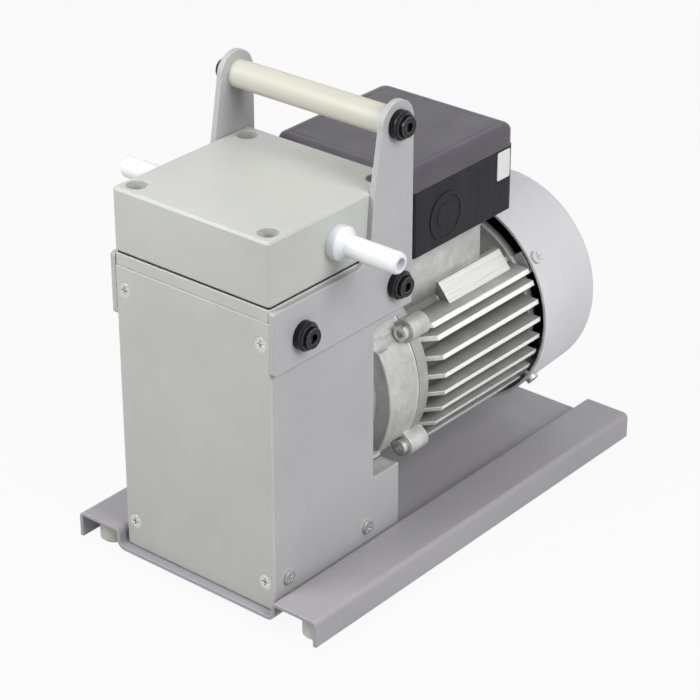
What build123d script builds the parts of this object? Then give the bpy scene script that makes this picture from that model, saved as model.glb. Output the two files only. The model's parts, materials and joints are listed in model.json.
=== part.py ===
from build123d import *
import os

# Diaphragm vacuum pump: a square pump housing and head, driven by a finned
# motor bolted to its back, on a folded base plate with four rubber feet.
# Millimetres.  +X is the right of a person who faces the front cover,
# +Y runs to the back along the motor shaft, +Z is up.
# The origin is on the table, under the middle of the base plate.
# Depths named "d_..." are measured back from the face of the front cover.

os.makedirs("parts", exist_ok=True)

# ---------------------------------------------------------------- dimensions
# Base plate and feet
base_length = 269.0
base_width = 162.0
sheet = 2.0
lip_height = 14.4
trough_depth = 9.2
bend_radius = 3.0
trough_clearance = 2.0
front_overhang = 4.5
foot_clear = 3.0
foot_radius = 7.5
foot_inset = 14.0
foot_flange_inset = 11.0

# Pump housing
housing_width = 100.0
panel_sheet = 2.0
case_wall = 7.0
case_depth = 86.7
case_top = 169.0
case_bore = 33.0
tail_height = 41.3
tail_depth = 97.7
upper_tail_low = 136.0
panel_depth = 77.1
rear_wall = 6.0
neck_radius = 44.0
deck_depth = 98.0
deck_thickness = 6.7
deck_bore = 35.0

# Diaphragm drive
stroke_half = 4.0
rod_depth = 49.0
bearing_width = 11.4
bearing_outer = 23.5
journal_radius = 12.5
big_end_wall = 5.0
disc_radius = 24.0
support_thickness = 5.0
clamp_thickness = 4.0
diaphragm_sheet = 1.5
diaphragm_core = 2.0
diaphragm_rise = 0.8
weight_radius = 36.5
weight_thickness = 7.0

# Pump head and valves
head_height = 33.1
chamber_radius = 36.0
chamber_depth = 6.5
plate_radius = 31.0
plate_thickness = 5.0
valve_offset = 18.0
valve_radius = 7.5
valve_thickness = 1.2
valve_lift = 1.0
port_height = 16.5
port_radius = 4.5
nozzle_radius = 5.6
nozzle_bore = 3.0
nozzle_length = 39.0
collar_radius = 8.75
collar_length = 6.0
head_bolt_side = 8.0
head_bolt_inset = 9.3
counterbore_radius = 5.5
counterbore_depth = 20.0

# Carrying handle
bracket_sheet = 3.0
bracket_low = 141.5
bracket_high = 174.7
bracket_depth = 103.0
handle_depth = 91.1
handle_height = 240.9
handle_radius = 7.3
handle_bore = 4.5
cup_radius = 7.5
cup_height = 5.0
bracket_screw_z = 156.3
bracket_screw_front = 20.4

# Motor
axis_z = 87.7
shaft_radius = 7.5
shaft_end_radius = 6.0
spigot_radius = 30.0
shield_radius = 53.7
shield_length = 24.7
ring_radius = 52.7
stator_length = 96.6
stator_core_radius = 47.5
stator_bore = 44.0
fin_tip_radius = 58.3
fin_pitch = 10.0
fin_shift = -0.8
fin_thickness = 2.4
fin_run_in = 14.0
pad_front = 148.6
pad_rear = 201.3
pad_high = 41.2
pad_low = 31.6
rotor_radius = 27.4
lamination_length = 60.0
cowl_length = 53.0
cowl_sheet = 1.5
cowl_corner = 8.0
grille_rings = (42.0, 34.0, 26.0, 18.0)
grille_slot = 4.0
grille_spokes = 8
grille_bar = 5.0
fan_radius = 50.0
fan_blades = 8
ear_circle = 56.5
ear_radius = 6.0
ear_thickness = 4.5
ear_angle = 36.0
boss_length = 9.0

# Terminal box
box_half_width = 43.1
box_front = 115.9
box_rear = 199.3
box_low = 156.4
box_split = 192.7
box_high = 204.3
box_wall = 3.0
lid_front = 111.0
lid_round = 4.0
plinth_half_width = 33.0
plinth_rear = 186.0

# Screws: radius of the shank, and the fit that a shank or a shaft gets
m3, m4, m5, m6 = 1.5, 2.0, 2.5, 3.0
fit = 0.05
gap = 0.3

# ------------------------------------------------------------ derived places
flange_top = foot_clear + lip_height
floor_top = flange_top - trough_depth
panel_y = front_overhang - base_length / 2
half = housing_width / 2
trough_width = housing_width + 2 * trough_clearance
head_bolt_x = half - head_bolt_side
wall_front = panel_depth - rear_wall
cowl_front_radius = fin_tip_radius + 3.1
cowl_rear_radius = fin_tip_radius + 0.9
case_half = half - panel_sheet - 0.1
deck_top = case_top + deck_thickness
head_low = deck_top + diaphragm_sheet
head_high = head_low + head_height
roof_z = head_low + chamber_depth
core_low = deck_top + diaphragm_rise
rod_top = core_low - support_thickness
crank_z = axis_z + stroke_half
d_shield = case_depth
d_stator = d_shield + shield_length
d_stator_end = d_stator + stator_length
d_cowl = d_stator_end + 0.8
d_cowl_end = d_cowl + cowl_length
port_z = head_low + port_height
bracket_face = half + bracket_sheet


def at(depth):
    """Y of a depth behind the face of the front cover."""
    return panel_y + depth


def front_plane(depth):
    """A plane parallel to the front cover; its local X, Y are X, Z."""
    return Plane.XZ.offset(-at(depth))


rod_y = at(rod_depth)
handle_y = at(handle_depth)
motor_axis = Axis((0, 0, axis_z), (0, 1, 0))
valve_axis = {"inlet": valve_offset, "outlet": -valve_offset}
head_bolts = [
    (x, at(d))
    for x in (-head_bolt_x, head_bolt_x)
    for d in (head_bolt_inset, deck_depth - head_bolt_inset)
]
cover_screws = [
    (x, z)
    for x in (-case_half + case_wall / 2, case_half - case_wall / 2)
    for z in (floor_top + 15.5, case_top - 12.8)
]
side_screws_yz = [(at(11.0), floor_top + 15.5), (at(panel_depth - 5), floor_top + 15.5)]
bracket_screws_yz = [(at(bracket_screw_front), bracket_screw_z), (handle_y, bracket_screw_z)]
ear_angles = (ear_angle, 180 - ear_angle, 180 + ear_angle, 360 - ear_angle)


def round_motor(radius):
    """Places of the four ears on a circle, each turned to point outwards."""
    return [Pos(0, axis_z, 0) * Rot(0, 0, a) * Pos(radius, 0, 0) for a in ear_angles]


def save(part, name):
    part.label = name
    export_step(part, f"parts/{name}.step")


# ---------------------------------------------------------------- base plate
# One folded sheet: outer lips, two flanges, and a trough down the middle.
with BuildPart() as base_plate:
    with BuildSketch(Plane.XZ.offset(-base_length / 2)) as section:
        with BuildLine():
            FilletPolyline(
                (-base_width / 2, foot_clear),
                (-base_width / 2, flange_top),
                (-trough_width / 2, flange_top),
                (-trough_width / 2, floor_top),
                (trough_width / 2, floor_top),
                (trough_width / 2, flange_top),
                (base_width / 2, flange_top),
                (base_width / 2, foot_clear),
                radius=bend_radius,
            )
            offset(amount=sheet, side=Side.RIGHT)
        make_face()
    extrude(amount=base_length)
    with Locations((0, at(tail_depth / 2), floor_top)):
        with GridLocations(76, tail_depth - 30, 2, 2):
            Hole(m5 + fit, depth=2 * sheet)
save(base_plate.part, "base_plate")

foot_places = GridLocations(
    base_width - 2 * foot_flange_inset, base_length - 2 * foot_inset, 2, 2
)
with BuildPart() as rubber_feet:
    with BuildSketch():
        with foot_places:
            Circle(foot_radius)
    extrude(amount=flange_top - sheet)
    chamfer(rubber_feet.edges().group_by(Axis.Z)[0], 0.8)
save(rubber_feet.part, "rubber_feet")

with BuildPart() as base_bolts:
    with Locations((0, at(tail_depth / 2), floor_top - sheet - 3)):
        with GridLocations(76, tail_depth - 30, 2, 2):
            Cylinder(4.5, 3, align=(Align.CENTER, Align.CENTER, Align.MIN))
            Cylinder(m5, 3 + sheet + 5.5, align=(Align.CENTER, Align.CENTER, Align.MIN))
save(base_bolts.part, "base_bolts")

# ------------------------------------------------------------- pump housing
# A casting that is open at the front, with a block above and a saddle below
# the motor flange.
block_low = axis_z + shield_radius + 1.0
with BuildPart() as crankcase:
    with BuildSketch(Plane.YZ.offset(-case_half)):
        with BuildLine():
            Polyline(
                (at(panel_sheet), floor_top),
                (at(tail_depth - 0.4), floor_top),
                (at(tail_depth - 0.4), floor_top + tail_height),
                (at(case_depth), floor_top + tail_height),
                (at(case_depth), block_low),
                (at(deck_depth - 0.5), block_low),
                (at(deck_depth - 0.5), case_top),
                (at(panel_sheet), case_top),
                close=True,
            )
        make_face()
    extrude(amount=2 * case_half)
    # room for the edge of the motor flange in the saddle
    with BuildSketch(front_plane(case_depth)):
        with Locations((0, axis_z)):
            Circle(shield_radius + 0.5)
    extrude(amount=-30, mode=Mode.SUBTRACT)
    # crank chamber
    with BuildSketch(front_plane(panel_sheet)):
        with Locations((0, (floor_top + case_top) / 2)):
            RectangleRounded(2 * (case_half - case_wall), case_top - floor_top - 2 * case_wall, 6)
    extrude(amount=-(wall_front - panel_sheet), mode=Mode.SUBTRACT)
    # behind the side panels only a round neck and a web reach the motor flange
    with BuildSketch(front_plane(panel_depth + 0.4)):
        with Locations((0, (floor_top + tail_height + block_low) / 2)):
            Rectangle(2 * half, block_low - floor_top - tail_height)
        with Locations((0, axis_z)):
            Circle(neck_radius, mode=Mode.SUBTRACT)
        with Locations((0, block_low - 10)):
            Rectangle(1.3 * neck_radius, 40, mode=Mode.SUBTRACT)
    extrude(amount=-(case_depth - panel_depth + 1), mode=Mode.SUBTRACT)
    # round opening for the rod, bore for the motor spigot
    with Locations((0, rod_y, case_top)):
        Hole(case_bore, depth=2 * case_wall)
    with BuildSketch(front_plane(wall_front - 1)):
        with Locations((0, axis_z)):
            Circle(spigot_radius + fit)
    extrude(amount=-30, mode=Mode.SUBTRACT)
    # screw holes
    with BuildSketch(front_plane(panel_sheet)):
        with Locations(*cover_screws):
            Circle(m4 + fit)
    extrude(amount=-12, mode=Mode.SUBTRACT)
    with BuildSketch(Plane.XY.offset(floor_top)):
        with Locations((0, at(tail_depth / 2))):
            with GridLocations(76, tail_depth - 30, 2, 2):
                Circle(m5 + fit)
    extrude(amount=6, mode=Mode.SUBTRACT)
    for x, turn in ((-case_half, 1), (case_half, -1)):
        with BuildSketch(Plane.YZ.offset(x)):
            with Locations(*side_screws_yz):
                Circle(m4 + fit)
        extrude(amount=turn * 6.5, mode=Mode.SUBTRACT)
        with BuildSketch(Plane.YZ.offset(x)):
            with Locations(*bracket_screws_yz):
                Circle(m6 + fit)
        extrude(amount=turn * 8, mode=Mode.SUBTRACT)
    with BuildSketch(Plane.XY.offset(case_top)):
        with GridLocations(2 * (case_half - case_wall / 2), 0, 2, 1):
            with Locations((0, at(28)), (0, at(68))):
                Circle(m5 + fit)
    extrude(amount=-14, mode=Mode.SUBTRACT)
    with BuildSketch(front_plane(case_depth)):
        with Locations((0, axis_z)):
            with PolarLocations(38.5, 4, start_angle=45):
                Circle(m5 + fit)
    extrude(amount=case_depth - wall_front + 1, mode=Mode.SUBTRACT)
save(crankcase.part, "crankcase")


def make_side_panel(x):
    """Flat side sheet with a tail above and a tail below the motor flange."""
    with BuildPart() as panel:
        with BuildSketch(Plane.YZ.offset(x)):
            with BuildLine():
                Polyline(
                    (at(panel_sheet + 0.1), floor_top + 0.4),
                    (at(tail_depth), floor_top + 0.4),
                    (at(tail_depth), floor_top + tail_height + 0.4),
                    (at(panel_depth), floor_top + tail_height + 0.4),
                    (at(panel_depth), upper_tail_low),
                    (at(tail_depth), upper_tail_low),
                    (at(tail_depth), case_top - 0.1),
                    (at(panel_sheet + 0.1), case_top - 0.1),
                    close=True,
                )
            make_face()
            with Locations(*side_screws_yz):
                Circle(m4 + 0.1, mode=Mode.SUBTRACT)
            with Locations(*bracket_screws_yz):
                Circle(m6 + 0.1, mode=Mode.SUBTRACT)
        extrude(amount=panel_sheet)
        for z in (floor_top + tail_height + 0.4, upper_tail_low):
            corner = panel.edges().filter_by(Axis.X).sort_by_distance((x, at(panel_depth), z))[0]
            fillet(corner, 3)
    return panel.part


save(make_side_panel(half - panel_sheet), "side_panel_right")
save(make_side_panel(-half), "side_panel_left")

# Front cover, with four countersunk cross-head screws in its corners
with BuildPart() as front_cover:
    with BuildSketch(front_plane(0)):
        with Locations((0, (floor_top + 0.4 + case_top) / 2)):
            RectangleRounded(housing_width, case_top - floor_top - 0.6, 1.0)
    extrude(amount=-panel_sheet)
    chamfer(front_cover.faces().sort_by(Axis.Y)[0].edges(), 0.4)
    with Locations(front_plane(0)):
        with Locations(*cover_screws):
            CounterSinkHole(m4 + 0.1, 2 * m4 + 0.1, depth=3 * panel_sheet, counter_sink_angle=90)
save(front_cover.part, "front_cover")

with BuildPart() as front_cover_screws:
    with Locations(front_plane(0)):
        with Locations(*cover_screws):
            Cylinder(m4, 8, align=(Align.CENTER, Align.CENTER, Align.MAX))
            Cone(m4, 2 * m4, m4, align=(Align.CENTER, Align.CENTER, Align.MAX))
            with Locations((0, 0, 0.01)):
                Box(0.9, 4.4, 1.2, align=(Align.CENTER, Align.CENTER, Align.MAX), mode=Mode.SUBTRACT)
                Box(4.4, 0.9, 1.2, align=(Align.CENTER, Align.CENTER, Align.MAX), mode=Mode.SUBTRACT)
save(front_cover_screws.part, "front_cover_screws")

with BuildPart() as side_screws:
    for x, turn in ((-half, 1), (half, -1)):
        with BuildSketch(Plane.YZ.offset(x)):
            with Locations(*side_screws_yz):
                Circle(m4)
        extrude(amount=turn * 8)
        with BuildSketch(Plane.YZ.offset(x)):
            with Locations(*side_screws_yz):
                Circle(3.6)
        extrude(amount=-turn * 1.6)
        with BuildSketch(Plane.YZ.offset(x - turn * 1.6)):
            with Locations(*side_screws_yz):
                Rectangle(0.8, 4.2, rotation=35)
                Rectangle(4.2, 0.8, rotation=35)
        extrude(amount=turn * 0.9, mode=Mode.SUBTRACT)
save(side_screws.part, "side_screws")

# Deck plate that closes the housing and carries the head
with BuildPart() as deck_plate:
    with BuildSketch(Plane.XY.offset(case_top)):
        with Locations((0, at(deck_depth / 2))):
            RectangleRounded(housing_width, deck_depth, 1.5)
        with Locations((0, rod_y)):
            Circle(deck_bore, mode=Mode.SUBTRACT)
        with Locations(*head_bolts):
            Circle(m6 + fit, mode=Mode.SUBTRACT)
    extrude(amount=deck_thickness)
    with Locations((0, 0, deck_top)):
        with GridLocations(2 * (case_half - case_wall / 2), 0, 2, 1):
            with Locations((0, at(28)), (0, at(68))):
                CounterSinkHole(m5 + 0.1, 2 * m5 + 0.1, depth=deck_thickness, counter_sink_angle=90)
save(deck_plate.part, "deck_plate")

with BuildPart() as deck_screws:
    with Locations((0, 0, deck_top - 0.1)):
        with GridLocations(2 * (case_half - case_wall / 2), 0, 2, 1):
            with Locations((0, at(28)), (0, at(68))):
                Cylinder(m5, 19, align=(Align.CENTER, Align.CENTER, Align.MAX))
                Cone(m5, 2 * m5, m5, align=(Align.CENTER, Align.CENTER, Align.MAX))
save(deck_screws.part, "deck_screws")

# ---------------------------------------------------------- diaphragm drive
# The rim is clamped between deck and head; the middle is clamped between two
# discs on the rod, and a rolling fold joins the two.
with BuildPart() as diaphragm:
    with BuildSketch(Plane.XY.offset(deck_top)):
        with Locations((0, at(deck_depth / 2))):
            RectangleRounded(housing_width - 1.2, deck_depth - 1.2, 1.5)
        with Locations((0, rod_y)):
            Circle(deck_bore - 0.5, mode=Mode.SUBTRACT)
        with Locations(*head_bolts):
            Circle(m6 + 0.4, mode=Mode.SUBTRACT)
    extrude(amount=diaphragm_sheet)
    fold_in = disc_radius - 1.5
    fold_out = deck_bore - 0.5
    with BuildSketch(Plane.XZ.offset(-rod_y)):
        with BuildLine():
            Line((m6 + 0.3, core_low), (fold_in, core_low))
            Polyline(
                (fold_in, core_low),
                (fold_in + 3.5, core_low - 2.9),
                (fold_out - 3.5, core_low - 3.1),
                (fold_out, deck_top),
            )
            Line((fold_out, deck_top), (fold_out, deck_top + diaphragm_sheet))
            Polyline(
                (fold_out, deck_top + diaphragm_sheet),
                (fold_out - 3.5, core_low - 1.4),
                (fold_in + 3.5, core_low - 1.2),
                (fold_in, core_low + diaphragm_core),
            )
            Line((fold_in, core_low + diaphragm_core), (m6 + 0.3, core_low + diaphragm_core))
            Line((m6 + 0.3, core_low + diaphragm_core), (m6 + 0.3, core_low))
        make_face()
    revolve(axis=Axis((0, rod_y, 0), (0, 0, 1)))
save(diaphragm.part, "diaphragm")

core_high = core_low + diaphragm_core
with BuildPart() as support_disc:
    with BuildSketch(Plane.XY.offset(core_low)):
        with Locations((0, rod_y)):
            Circle(disc_radius - 1.5)
            Circle(m6 + 0.1, mode=Mode.SUBTRACT)
    extrude(amount=-support_thickness)
    chamfer(support_disc.edges().group_by(Axis.Z)[0].sort_by(SortBy.LENGTH)[-1], 1.8)
save(support_disc.part, "support_disc")

with BuildPart() as clamping_disc:
    with BuildSketch(Plane.XY.offset(core_high)):
        with Locations((0, rod_y)):
            Circle(disc_radius - 1.5)
    extrude(amount=clamp_thickness)
    chamfer(clamping_disc.edges().group_by(Axis.Z)[-1], 1.2)
    with Locations((0, rod_y, core_high + clamp_thickness)):
        CounterSinkHole(m6 + 0.1, 2 * m6 + 0.2, depth=clamp_thickness, counter_sink_angle=90)
save(clamping_disc.part, "clamping_disc")

clamp_screw_length = clamp_thickness + diaphragm_core + support_thickness + 12
with BuildPart() as clamping_screw:
    with Locations((0, rod_y, core_high + clamp_thickness - 0.1)):
        Cylinder(m6, clamp_screw_length, align=(Align.CENTER, Align.CENTER, Align.MAX))
        Cone(m6, 2 * m6, m6, align=(Align.CENTER, Align.CENTER, Align.MAX))
    with BuildSketch(Plane.XY.offset(core_high + clamp_thickness - 0.1)):
        with Locations((0, rod_y)):
            RegularPolygon(2.3, 6)
    extrude(amount=-2.2, mode=Mode.SUBTRACT)
save(clamping_screw.part, "clamping_screw")

big_end = bearing_outer + big_end_wall
with BuildPart() as connecting_rod:
    # tapered shank with a rib on each side, running into the pad under the disc
    with BuildSketch(front_plane(rod_depth + 3)):
        with BuildLine():
            Polyline(
                (-13, crank_z + 18),
                (-8, rod_top - 6),
                (-12, rod_top - 3),
                (-12, rod_top),
                (12, rod_top),
                (12, rod_top - 3),
                (8, rod_top - 6),
                (13, crank_z + 18),
                close=True,
            )
        make_face()
    extrude(amount=6)
    with BuildSketch(front_plane(rod_depth + bearing_width / 2)):
        for s in (-1, 1):
            with BuildLine():
                Polyline(
                    (s * 13, crank_z + 18),
                    (s * 8, rod_top - 6),
                    (s * 5, rod_top - 6),
                    (s * 9.5, crank_z + 18),
                    close=True,
                )
            make_face()
    extrude(amount=bearing_width)
    with BuildSketch(front_plane(rod_depth + bearing_width / 2)):
        with Locations((0, crank_z)):
            Circle(big_end)
    extrude(amount=bearing_width)
    with Locations((0, rod_y, rod_top)):
        Cylinder(12, 6, align=(Align.CENTER, Align.CENTER, Align.MAX))
        Cylinder(m6 + 2.5, 14, align=(Align.CENTER, Align.CENTER, Align.MAX))
    with BuildSketch(front_plane(rod_depth + bearing_width)):
        with Locations((0, crank_z)):
            Circle(bearing_outer + fit)
    extrude(amount=2 * bearing_width, mode=Mode.SUBTRACT)
    with Locations((0, rod_y, rod_top)):
        Hole(m6 + fit, depth=13)
save(connecting_rod.part, "connecting_rod")


def make_bearing(depth, z, bore, outer, width):
    """Sealed ball bearing about the shaft direction, with grooved seals."""
    with BuildPart() as bearing:
        with BuildSketch(front_plane(depth)):
            with Locations((0, z)):
                Circle(outer)
                Circle(bore, mode=Mode.SUBTRACT)
        extrude(amount=-width)
        for face_depth, turn in ((depth, -1), (depth + width, 1)):
            with BuildSketch(front_plane(face_depth)):
                with Locations((0, z)):
                    Circle(outer - (outer - bore) * 0.22)
                    Circle(bore + (outer - bore) * 0.22, mode=Mode.SUBTRACT)
            extrude(amount=turn * 0.6, mode=Mode.SUBTRACT)
    return bearing.part


d_bearing = rod_depth - bearing_width / 2
save(
    make_bearing(d_bearing, crank_z, journal_radius + fit, bearing_outer, bearing_width),
    "rod_bearing",
)

# Eccentric: journal off the shaft centre, shoulder, and a hub for the weight
d_journal = d_bearing - 0.3
d_shoulder = d_bearing + bearing_width + gap
d_hub = d_shoulder + 3.5
d_hub_end = d_hub + weight_thickness + 1.0
with BuildPart() as eccentric:
    with BuildSketch(front_plane(d_journal)):
        with Locations((0, crank_z)):
            Circle(journal_radius)
    extrude(amount=-(d_shoulder - d_journal))
    with BuildSketch(front_plane(d_shoulder)):
        with Locations((0, axis_z + stroke_half / 2)):
            Circle(journal_radius + 3.5)
    extrude(amount=-3.5)
    with BuildSketch(front_plane(d_hub)):
        with Locations((0, axis_z)):
            Circle(journal_radius)
    extrude(amount=-(d_hub_end - d_hub))
    with BuildSketch(front_plane(d_journal - 1)):
        with Locations((0, axis_z)):
            Circle(shaft_end_radius + fit)
    extrude(amount=-60, mode=Mode.SUBTRACT)
save(eccentric.part, "eccentric")

with BuildPart() as counterweight:
    with BuildSketch(front_plane(d_hub + 0.2)):
        with Locations((0, axis_z)):
            Circle(journal_radius + 5)
        with BuildLine():
            a1 = CenterArc((0, axis_z), weight_radius, 205, 130)
            Line(a1 @ 1, (0, axis_z))
            Line((0, axis_z), a1 @ 0)
        make_face()
        with Locations((0, axis_z)):
            Circle(journal_radius + fit, mode=Mode.SUBTRACT)
    extrude(amount=-weight_thickness)
save(counterweight.part, "counterweight")

with BuildPart() as crank_screw:
    with BuildSketch(front_plane(d_journal)):
        with Locations((0, axis_z)):
            Circle(8.0)
    extrude(amount=2)
    with BuildSketch(front_plane(d_journal - 2)):
        with Locations((0, axis_z)):
            Circle(4.25)
    extrude(amount=5)
    with BuildSketch(front_plane(d_journal)):
        with Locations((0, axis_z)):
            Circle(m5)
    extrude(amount=-14)
    with BuildSketch(front_plane(d_journal - 7)):
        with Locations((0, axis_z)):
            RegularPolygon(2.3, 6)
    extrude(amount=-3, mode=Mode.SUBTRACT)
save(crank_screw.part, "crank_screw")

# ------------------------------------------------------------------ the head
valve_top = roof_z + plate_thickness
with BuildPart() as head_block:
    with BuildSketch(Plane.XY.offset(head_low)):
        with Locations((0, at(deck_depth / 2))):
            RectangleRounded(housing_width, deck_depth, 2.0)
    extrude(amount=head_height)
    chamfer(head_block.faces().sort_by(Axis.Z)[-1].edges(), 1.0)
    with Locations((0, rod_y, head_low)):
        Cylinder(chamber_radius, chamber_depth, align=(Align.CENTER, Align.CENTER, Align.MIN),
                 mode=Mode.SUBTRACT)
        Cylinder(plate_radius + 0.1, chamber_depth + plate_thickness,
                 align=(Align.CENTER, Align.CENTER, Align.MIN), mode=Mode.SUBTRACT)
    with Locations((valve_offset, rod_y, valve_top), (-valve_offset, rod_y, valve_top)):
        Cylinder(valve_radius + 1, port_z - valve_top,
                 align=(Align.CENTER, Align.CENTER, Align.MIN), mode=Mode.SUBTRACT)
    for s in (-1, 1):
        with BuildSketch(Plane.YZ.offset(s * half)):
            with Locations((rod_y, port_z)):
                Circle(port_radius)
        extrude(amount=-s * (half - valve_offset + 2), mode=Mode.SUBTRACT)
    with Locations((0, 0, head_high)):
        with Locations(*head_bolts):
            CounterBoreHole(m6 + 0.3, counterbore_radius, counterbore_depth, depth=head_height)
    with BuildSketch(Plane.XY.offset(valve_top)):
        with Locations((0, rod_y)):
            with PolarLocations(plate_radius - 4, 4, start_angle=45):
                Circle(m3 + fit)
    extrude(amount=9, mode=Mode.SUBTRACT)
save(head_block.part, "head_block")

head_screw_seat = head_high - counterbore_depth
with BuildPart() as head_screws:
    with Locations((0, 0, head_screw_seat)):
        with Locations(*head_bolts):
            Cylinder(5, 6, align=(Align.CENTER, Align.CENTER, Align.MIN))
            Cylinder(m6, head_screw_seat - case_top - 0.5,
                     align=(Align.CENTER, Align.CENTER, Align.MAX))
    with BuildSketch(Plane.XY.offset(head_screw_seat + 6)):
        with Locations(*head_bolts):
            RegularPolygon(2.9, 6)
    extrude(amount=-3, mode=Mode.SUBTRACT)
save(head_screws.part, "head_screws")

# Valve plate: ports under each valve disc, and a pocket that a disc lifts in
inlet_seat = roof_z + valve_thickness + valve_lift + 0.8
outlet_seat = valve_top - valve_thickness - valve_lift - 0.8
with BuildPart() as valve_plate:
    with BuildSketch(Plane.XY.offset(roof_z)):
        with Locations((0, rod_y)):
            Circle(plate_radius)
    extrude(amount=plate_thickness)
    with Locations((valve_offset, rod_y, roof_z)):
        Cylinder(valve_radius + 1, inlet_seat - roof_z,
                 align=(Align.CENTER, Align.CENTER, Align.MIN), mode=Mode.SUBTRACT)
    with Locations((-valve_offset, rod_y, valve_top)):
        Cylinder(valve_radius + 1, valve_top - outlet_seat,
                 align=(Align.CENTER, Align.CENTER, Align.MAX), mode=Mode.SUBTRACT)
        with Locations((0, 0, -plate_thickness)):
            Cylinder(3.2, 1.0, align=(Align.CENTER, Align.CENTER, Align.MIN), mode=Mode.SUBTRACT)
    with BuildSketch(Plane.XY.offset(roof_z)):
        with Locations((valve_offset, rod_y), (-valve_offset, rod_y)):
            Circle(m3 + fit)
            with PolarLocations(5.0, 6):
                Circle(1.4)
        with Locations((0, rod_y)):
            with PolarLocations(plate_radius - 4, 4, start_angle=45):
                Circle(m3 + 0.1)
    extrude(amount=plate_thickness, mode=Mode.SUBTRACT)
    with Locations((0, rod_y, roof_z)):
        with PolarLocations(plate_radius - 4, 4, start_angle=45):
            Cone(2 * m3 + 0.1, m3 + 0.1, m3, align=(Align.CENTER, Align.CENTER, Align.MIN),
                 mode=Mode.SUBTRACT)
save(valve_plate.part, "valve_plate")

with BuildPart() as valve_plate_screws:
    with Locations((0, rod_y, roof_z + 0.1)):
        with PolarLocations(plate_radius - 4, 4, start_angle=45):
            Cone(2 * m3, m3, m3, align=(Align.CENTER, Align.CENTER, Align.MIN))
            Cylinder(m3, 12, align=(Align.CENTER, Align.CENTER, Align.MIN))
save(valve_plate_screws.part, "valve_plate_screws")

with BuildPart() as valve_studs:
    with Locations((valve_offset, rod_y, inlet_seat)):
        Cylinder(m3, valve_top - inlet_seat, align=(Align.CENTER, Align.CENTER, Align.MIN))
        Cylinder(m3, valve_thickness + valve_lift, align=(Align.CENTER, Align.CENTER, Align.MAX))
        with Locations((0, 0, -valve_thickness - valve_lift)):
            Cylinder(3, 0.6, align=(Align.CENTER, Align.CENTER, Align.MAX))
        with Locations((0, 0, valve_top - inlet_seat)):
            Cylinder(2.6, 0.8, align=(Align.CENTER, Align.CENTER, Align.MIN))
    with Locations((-valve_offset, rod_y, outlet_seat)):
        Cylinder(m3, outlet_seat - roof_z - 0.2, align=(Align.CENTER, Align.CENTER, Align.MAX))
        Cylinder(m3, valve_thickness + valve_lift, align=(Align.CENTER, Align.CENTER, Align.MIN))
        with Locations((0, 0, valve_thickness + valve_lift)):
            Cylinder(3, 0.6, align=(Align.CENTER, Align.CENTER, Align.MIN))
        with Locations((0, 0, roof_z + 0.2 - outlet_seat)):
            Cylinder(3, 0.8, align=(Align.CENTER, Align.CENTER, Align.MIN))
save(valve_studs.part, "valve_studs")


def make_valve_disc(x, low):
    """Flat rubber disc that slides on its stud."""
    with BuildPart() as disc:
        with BuildSketch(Plane.XY.offset(low)):
            with Locations((x, rod_y)):
                Circle(valve_radius)
                Circle(m3 + fit, mode=Mode.SUBTRACT)
        extrude(amount=valve_thickness)
    return disc.part


save(make_valve_disc(valve_offset, inlet_seat - valve_thickness), "inlet_valve_disc")
save(make_valve_disc(-valve_offset, outlet_seat), "outlet_valve_disc")


def make_nozzle(s):
    """Hose nozzle: threaded stub, round collar, and a smooth barrel."""
    end = half + nozzle_length
    with BuildPart() as nozzle:
        with BuildSketch(Plane.XZ.offset(-rod_y)):
            with BuildLine():
                Polyline(
                    (s * (half - 12), port_z + nozzle_bore),
                    (s * (half - 12), port_z + port_radius - fit),
                    (s * half, port_z + port_radius - fit),
                    (s * half, port_z + collar_radius),
                    (s * (half + collar_length - 1), port_z + collar_radius),
                    (s * (half + collar_length), port_z + collar_radius - 1),
                    (s * (half + collar_length + 2.5), port_z + nozzle_radius),
                    (s * (end - 2), port_z + nozzle_radius),
                    (s * (end - 0.6), port_z + nozzle_radius - 0.6),
                    (s * end, port_z + nozzle_radius - 1.6),
                    (s * end, port_z + nozzle_bore),
                    close=True,
                )
            make_face()
        revolve(axis=Axis((0, rod_y, port_z), (1, 0, 0)))
    return nozzle.part


save(make_nozzle(1), "inlet_nozzle")
save(make_nozzle(-1), "outlet_nozzle")

# ------------------------------------------------------------ carrying handle
bracket_round = bracket_depth - handle_depth


def make_bracket(x):
    """Flat bracket: a long foot along the deck, and an upright to the handle."""
    with BuildPart() as bracket:
        with BuildSketch(Plane.YZ.offset(x)):
            with BuildLine():
                Polyline(
                    (at(0), bracket_low),
                    (at(bracket_depth), bracket_low),
                    (at(bracket_depth), handle_height),
                    (at(handle_depth - bracket_round), handle_height),
                    (at(handle_depth - bracket_round - 6), handle_height - 33),
                    (at(70), bracket_high),
                    (at(0), bracket_high),
                    close=True,
                )
            make_face()
            with Locations((handle_y, handle_height)):
                Circle(bracket_round)
        extrude(amount=bracket_sheet)
        inside = bracket.edges().filter_by(Axis.X).sort_by_distance(
            (x, at(70), bracket_high)
        )[0]
        fillet(inside, 11)
        outer = bracket.edges().filter_by(Axis.X).filter_by_position(
            Axis.Y, at(0) - 0.1, at(0) + 0.1
        )
        fillet(outer, 1.5)
        with BuildSketch(Plane.YZ.offset(x)):
            with Locations(*bracket_screws_yz, (handle_y, handle_height)):
                Circle(m6 + 0.1)
        extrude(amount=bracket_sheet, mode=Mode.SUBTRACT)
    return bracket.part


save(make_bracket(half), "handle_bracket_right")
save(make_bracket(-half - bracket_sheet), "handle_bracket_left")

with BuildPart() as handle_tube:
    with BuildSketch(Plane.YZ.offset(-half)):
        with Locations((handle_y, handle_height)):
            Circle(handle_radius)
            Circle(handle_bore + fit, mode=Mode.SUBTRACT)
    extrude(amount=housing_width)
save(handle_tube.part, "handle_tube")

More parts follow.
